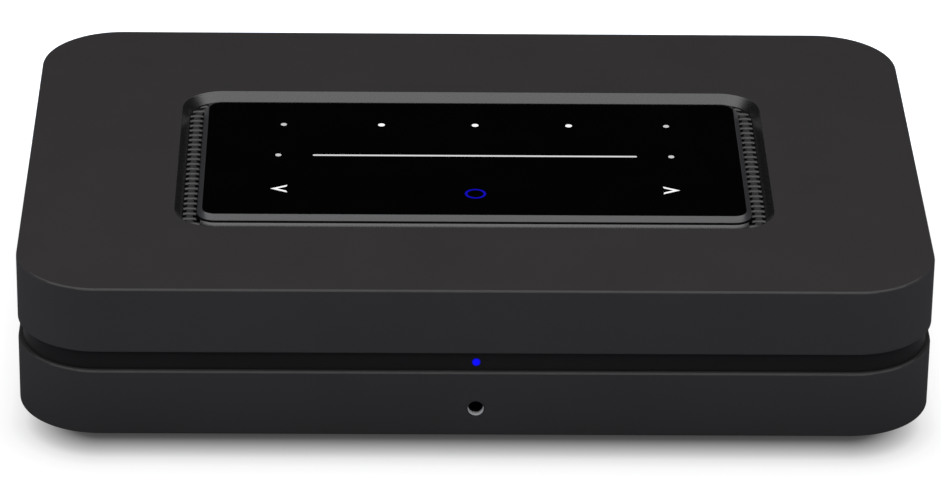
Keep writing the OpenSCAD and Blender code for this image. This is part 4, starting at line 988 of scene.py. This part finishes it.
def painted_shadow_tone(stops, tint="#ffffff"):
    """A painted shadow tone that changes with the distance from the case's outline, given in millimetres
    outside it.
    """
    ramp = add(tree, "ShaderNodeValToRGB", {}, {"Fac": share.outputs["Result"]})
    marks = ramp.color_ramp.elements
    while len(marks) < len(stops):
        marks.new(1.0)
    for mark, (outside, grey) in zip(marks, stops):
        mark.position = (outside + body_r) / REACH
        mark.color = [grey * part for part in linear(tint)[:3]] + [1]
    return ramp.outputs["Color"]


# The painted shadow: the paper's colour and its lift to white, by distance outside the case's outline.
PAPER_SHADOW_TONES = [(12, 0.03), (36, 0.88)]
LIFT_SHADOW_TONES = [(-15, 0.02), (-11, 0.085), (-4, 0.53), (-1, 0.77), (3, 0.92), (9, 1.0), (16, 1.0), (40, 0.6)]
tree.links.new(painted_shadow_tone(PAPER_SHADOW_TONES, "#eef4ff"), shader.inputs["Base Color"])
lift = add(tree, "ShaderNodeMath", {"operation": "MULTIPLY"},
           {0: seen.outputs["Value"], 1: painted_shadow_tone(LIFT_SHADOW_TONES)})
tree.links.new(lift.outputs["Value"], shader.inputs["Emission Strength"])
floor.data.materials.append(paper)


def softbox(name, width, depth, place, aim, watts, tint="#ffffff"):
    """A rectangular soft light at a place, turned towards a point, in metres."""
    lamp = bpy.data.lights.new(name, "AREA")
    lamp.shape = "RECTANGLE"
    lamp.size = width
    lamp.size_y = depth
    lamp.energy = watts
    lamp.color = linear(tint)[:3]
    holder = bpy.data.objects.new(name, lamp)
    holder.location = place
    holder.rotation_euler = (Vector(aim) - Vector(place)).to_track_quat("-Z", "Y").to_euler()
    bpy.context.scene.collection.objects.link(holder)


forward = -0.34
waist = (0, 0, 0.03)
softbox("softbox_above", width=2.5, depth=1.6, place=(0, forward, 1.05), aim=(0, forward, 0), watts=21.9)
softbox("softbox_left", width=0.5, depth=0.5, place=(-1.25, -0.5, 0.38), aim=waist, watts=5.3,
        tint="#e6eeff")
softbox("softbox_right", width=0.5, depth=0.5, place=(1.25, -0.5, 0.38), aim=waist, watts=4.7,
        tint="#e6eeff")

room = bpy.data.worlds.new("studio_room")
bpy.context.scene.world = room
room.use_nodes = True
tree = room.node_tree
view = add(tree, "ShaderNodeTexCoord", {}, {}).outputs["Generated"]
height = add(tree, "ShaderNodeSeparateXYZ", {}, {"Vector": view})
glow = add(tree, "ShaderNodeMapRange", {},
           {"Value": height.outputs["Z"], "From Min": 0.5, "From Max": 0.9, "To Min": 0.03, "To Max": 0.13})
tree.links.new(glow.outputs["Result"], tree.nodes["Background"].inputs["Strength"])
tree.nodes["Background"].inputs["Color"].default_value = linear("#ffffff")

# Camera
# A long lens about 1.3 m off, looking down on the front. Its place, its aim and its focal length were
# fitted to the corners and edges of the case.
IMAGE_W = 941
FOCAL_PX = 5113.05
camera = bpy.data.cameras.new("camera")
camera.sensor_width = 36
camera.lens = camera.sensor_width * FOCAL_PX / IMAGE_W
camera.clip_start = 0.05
camera.clip_end = 50
eye = bpy.data.objects.new("camera", camera)
EYE_MM = (-23.677, -1142.578, 603.343)
pitch, yaw, roll = 0.4702, 0.02045, -0.01397
ahead = Vector((math.sin(yaw) * math.cos(pitch), math.cos(yaw) * math.cos(pitch), -math.sin(pitch)))
right = Vector((math.cos(yaw), -math.sin(yaw), 0))
down = ahead.cross(right)
tilted_right = math.cos(roll) * right + math.sin(roll) * down
tilted_down = math.cos(roll) * down - math.sin(roll) * right
eye.matrix_world = Matrix((tilted_right, -tilted_down, -ahead)).transposed().to_4x4()
eye.location = Vector(EYE_MM) * MM
bpy.context.scene.collection.objects.link(eye)
bpy.context.scene.camera = eye
bpy.context.scene.view_settings.view_transform = "Standard"
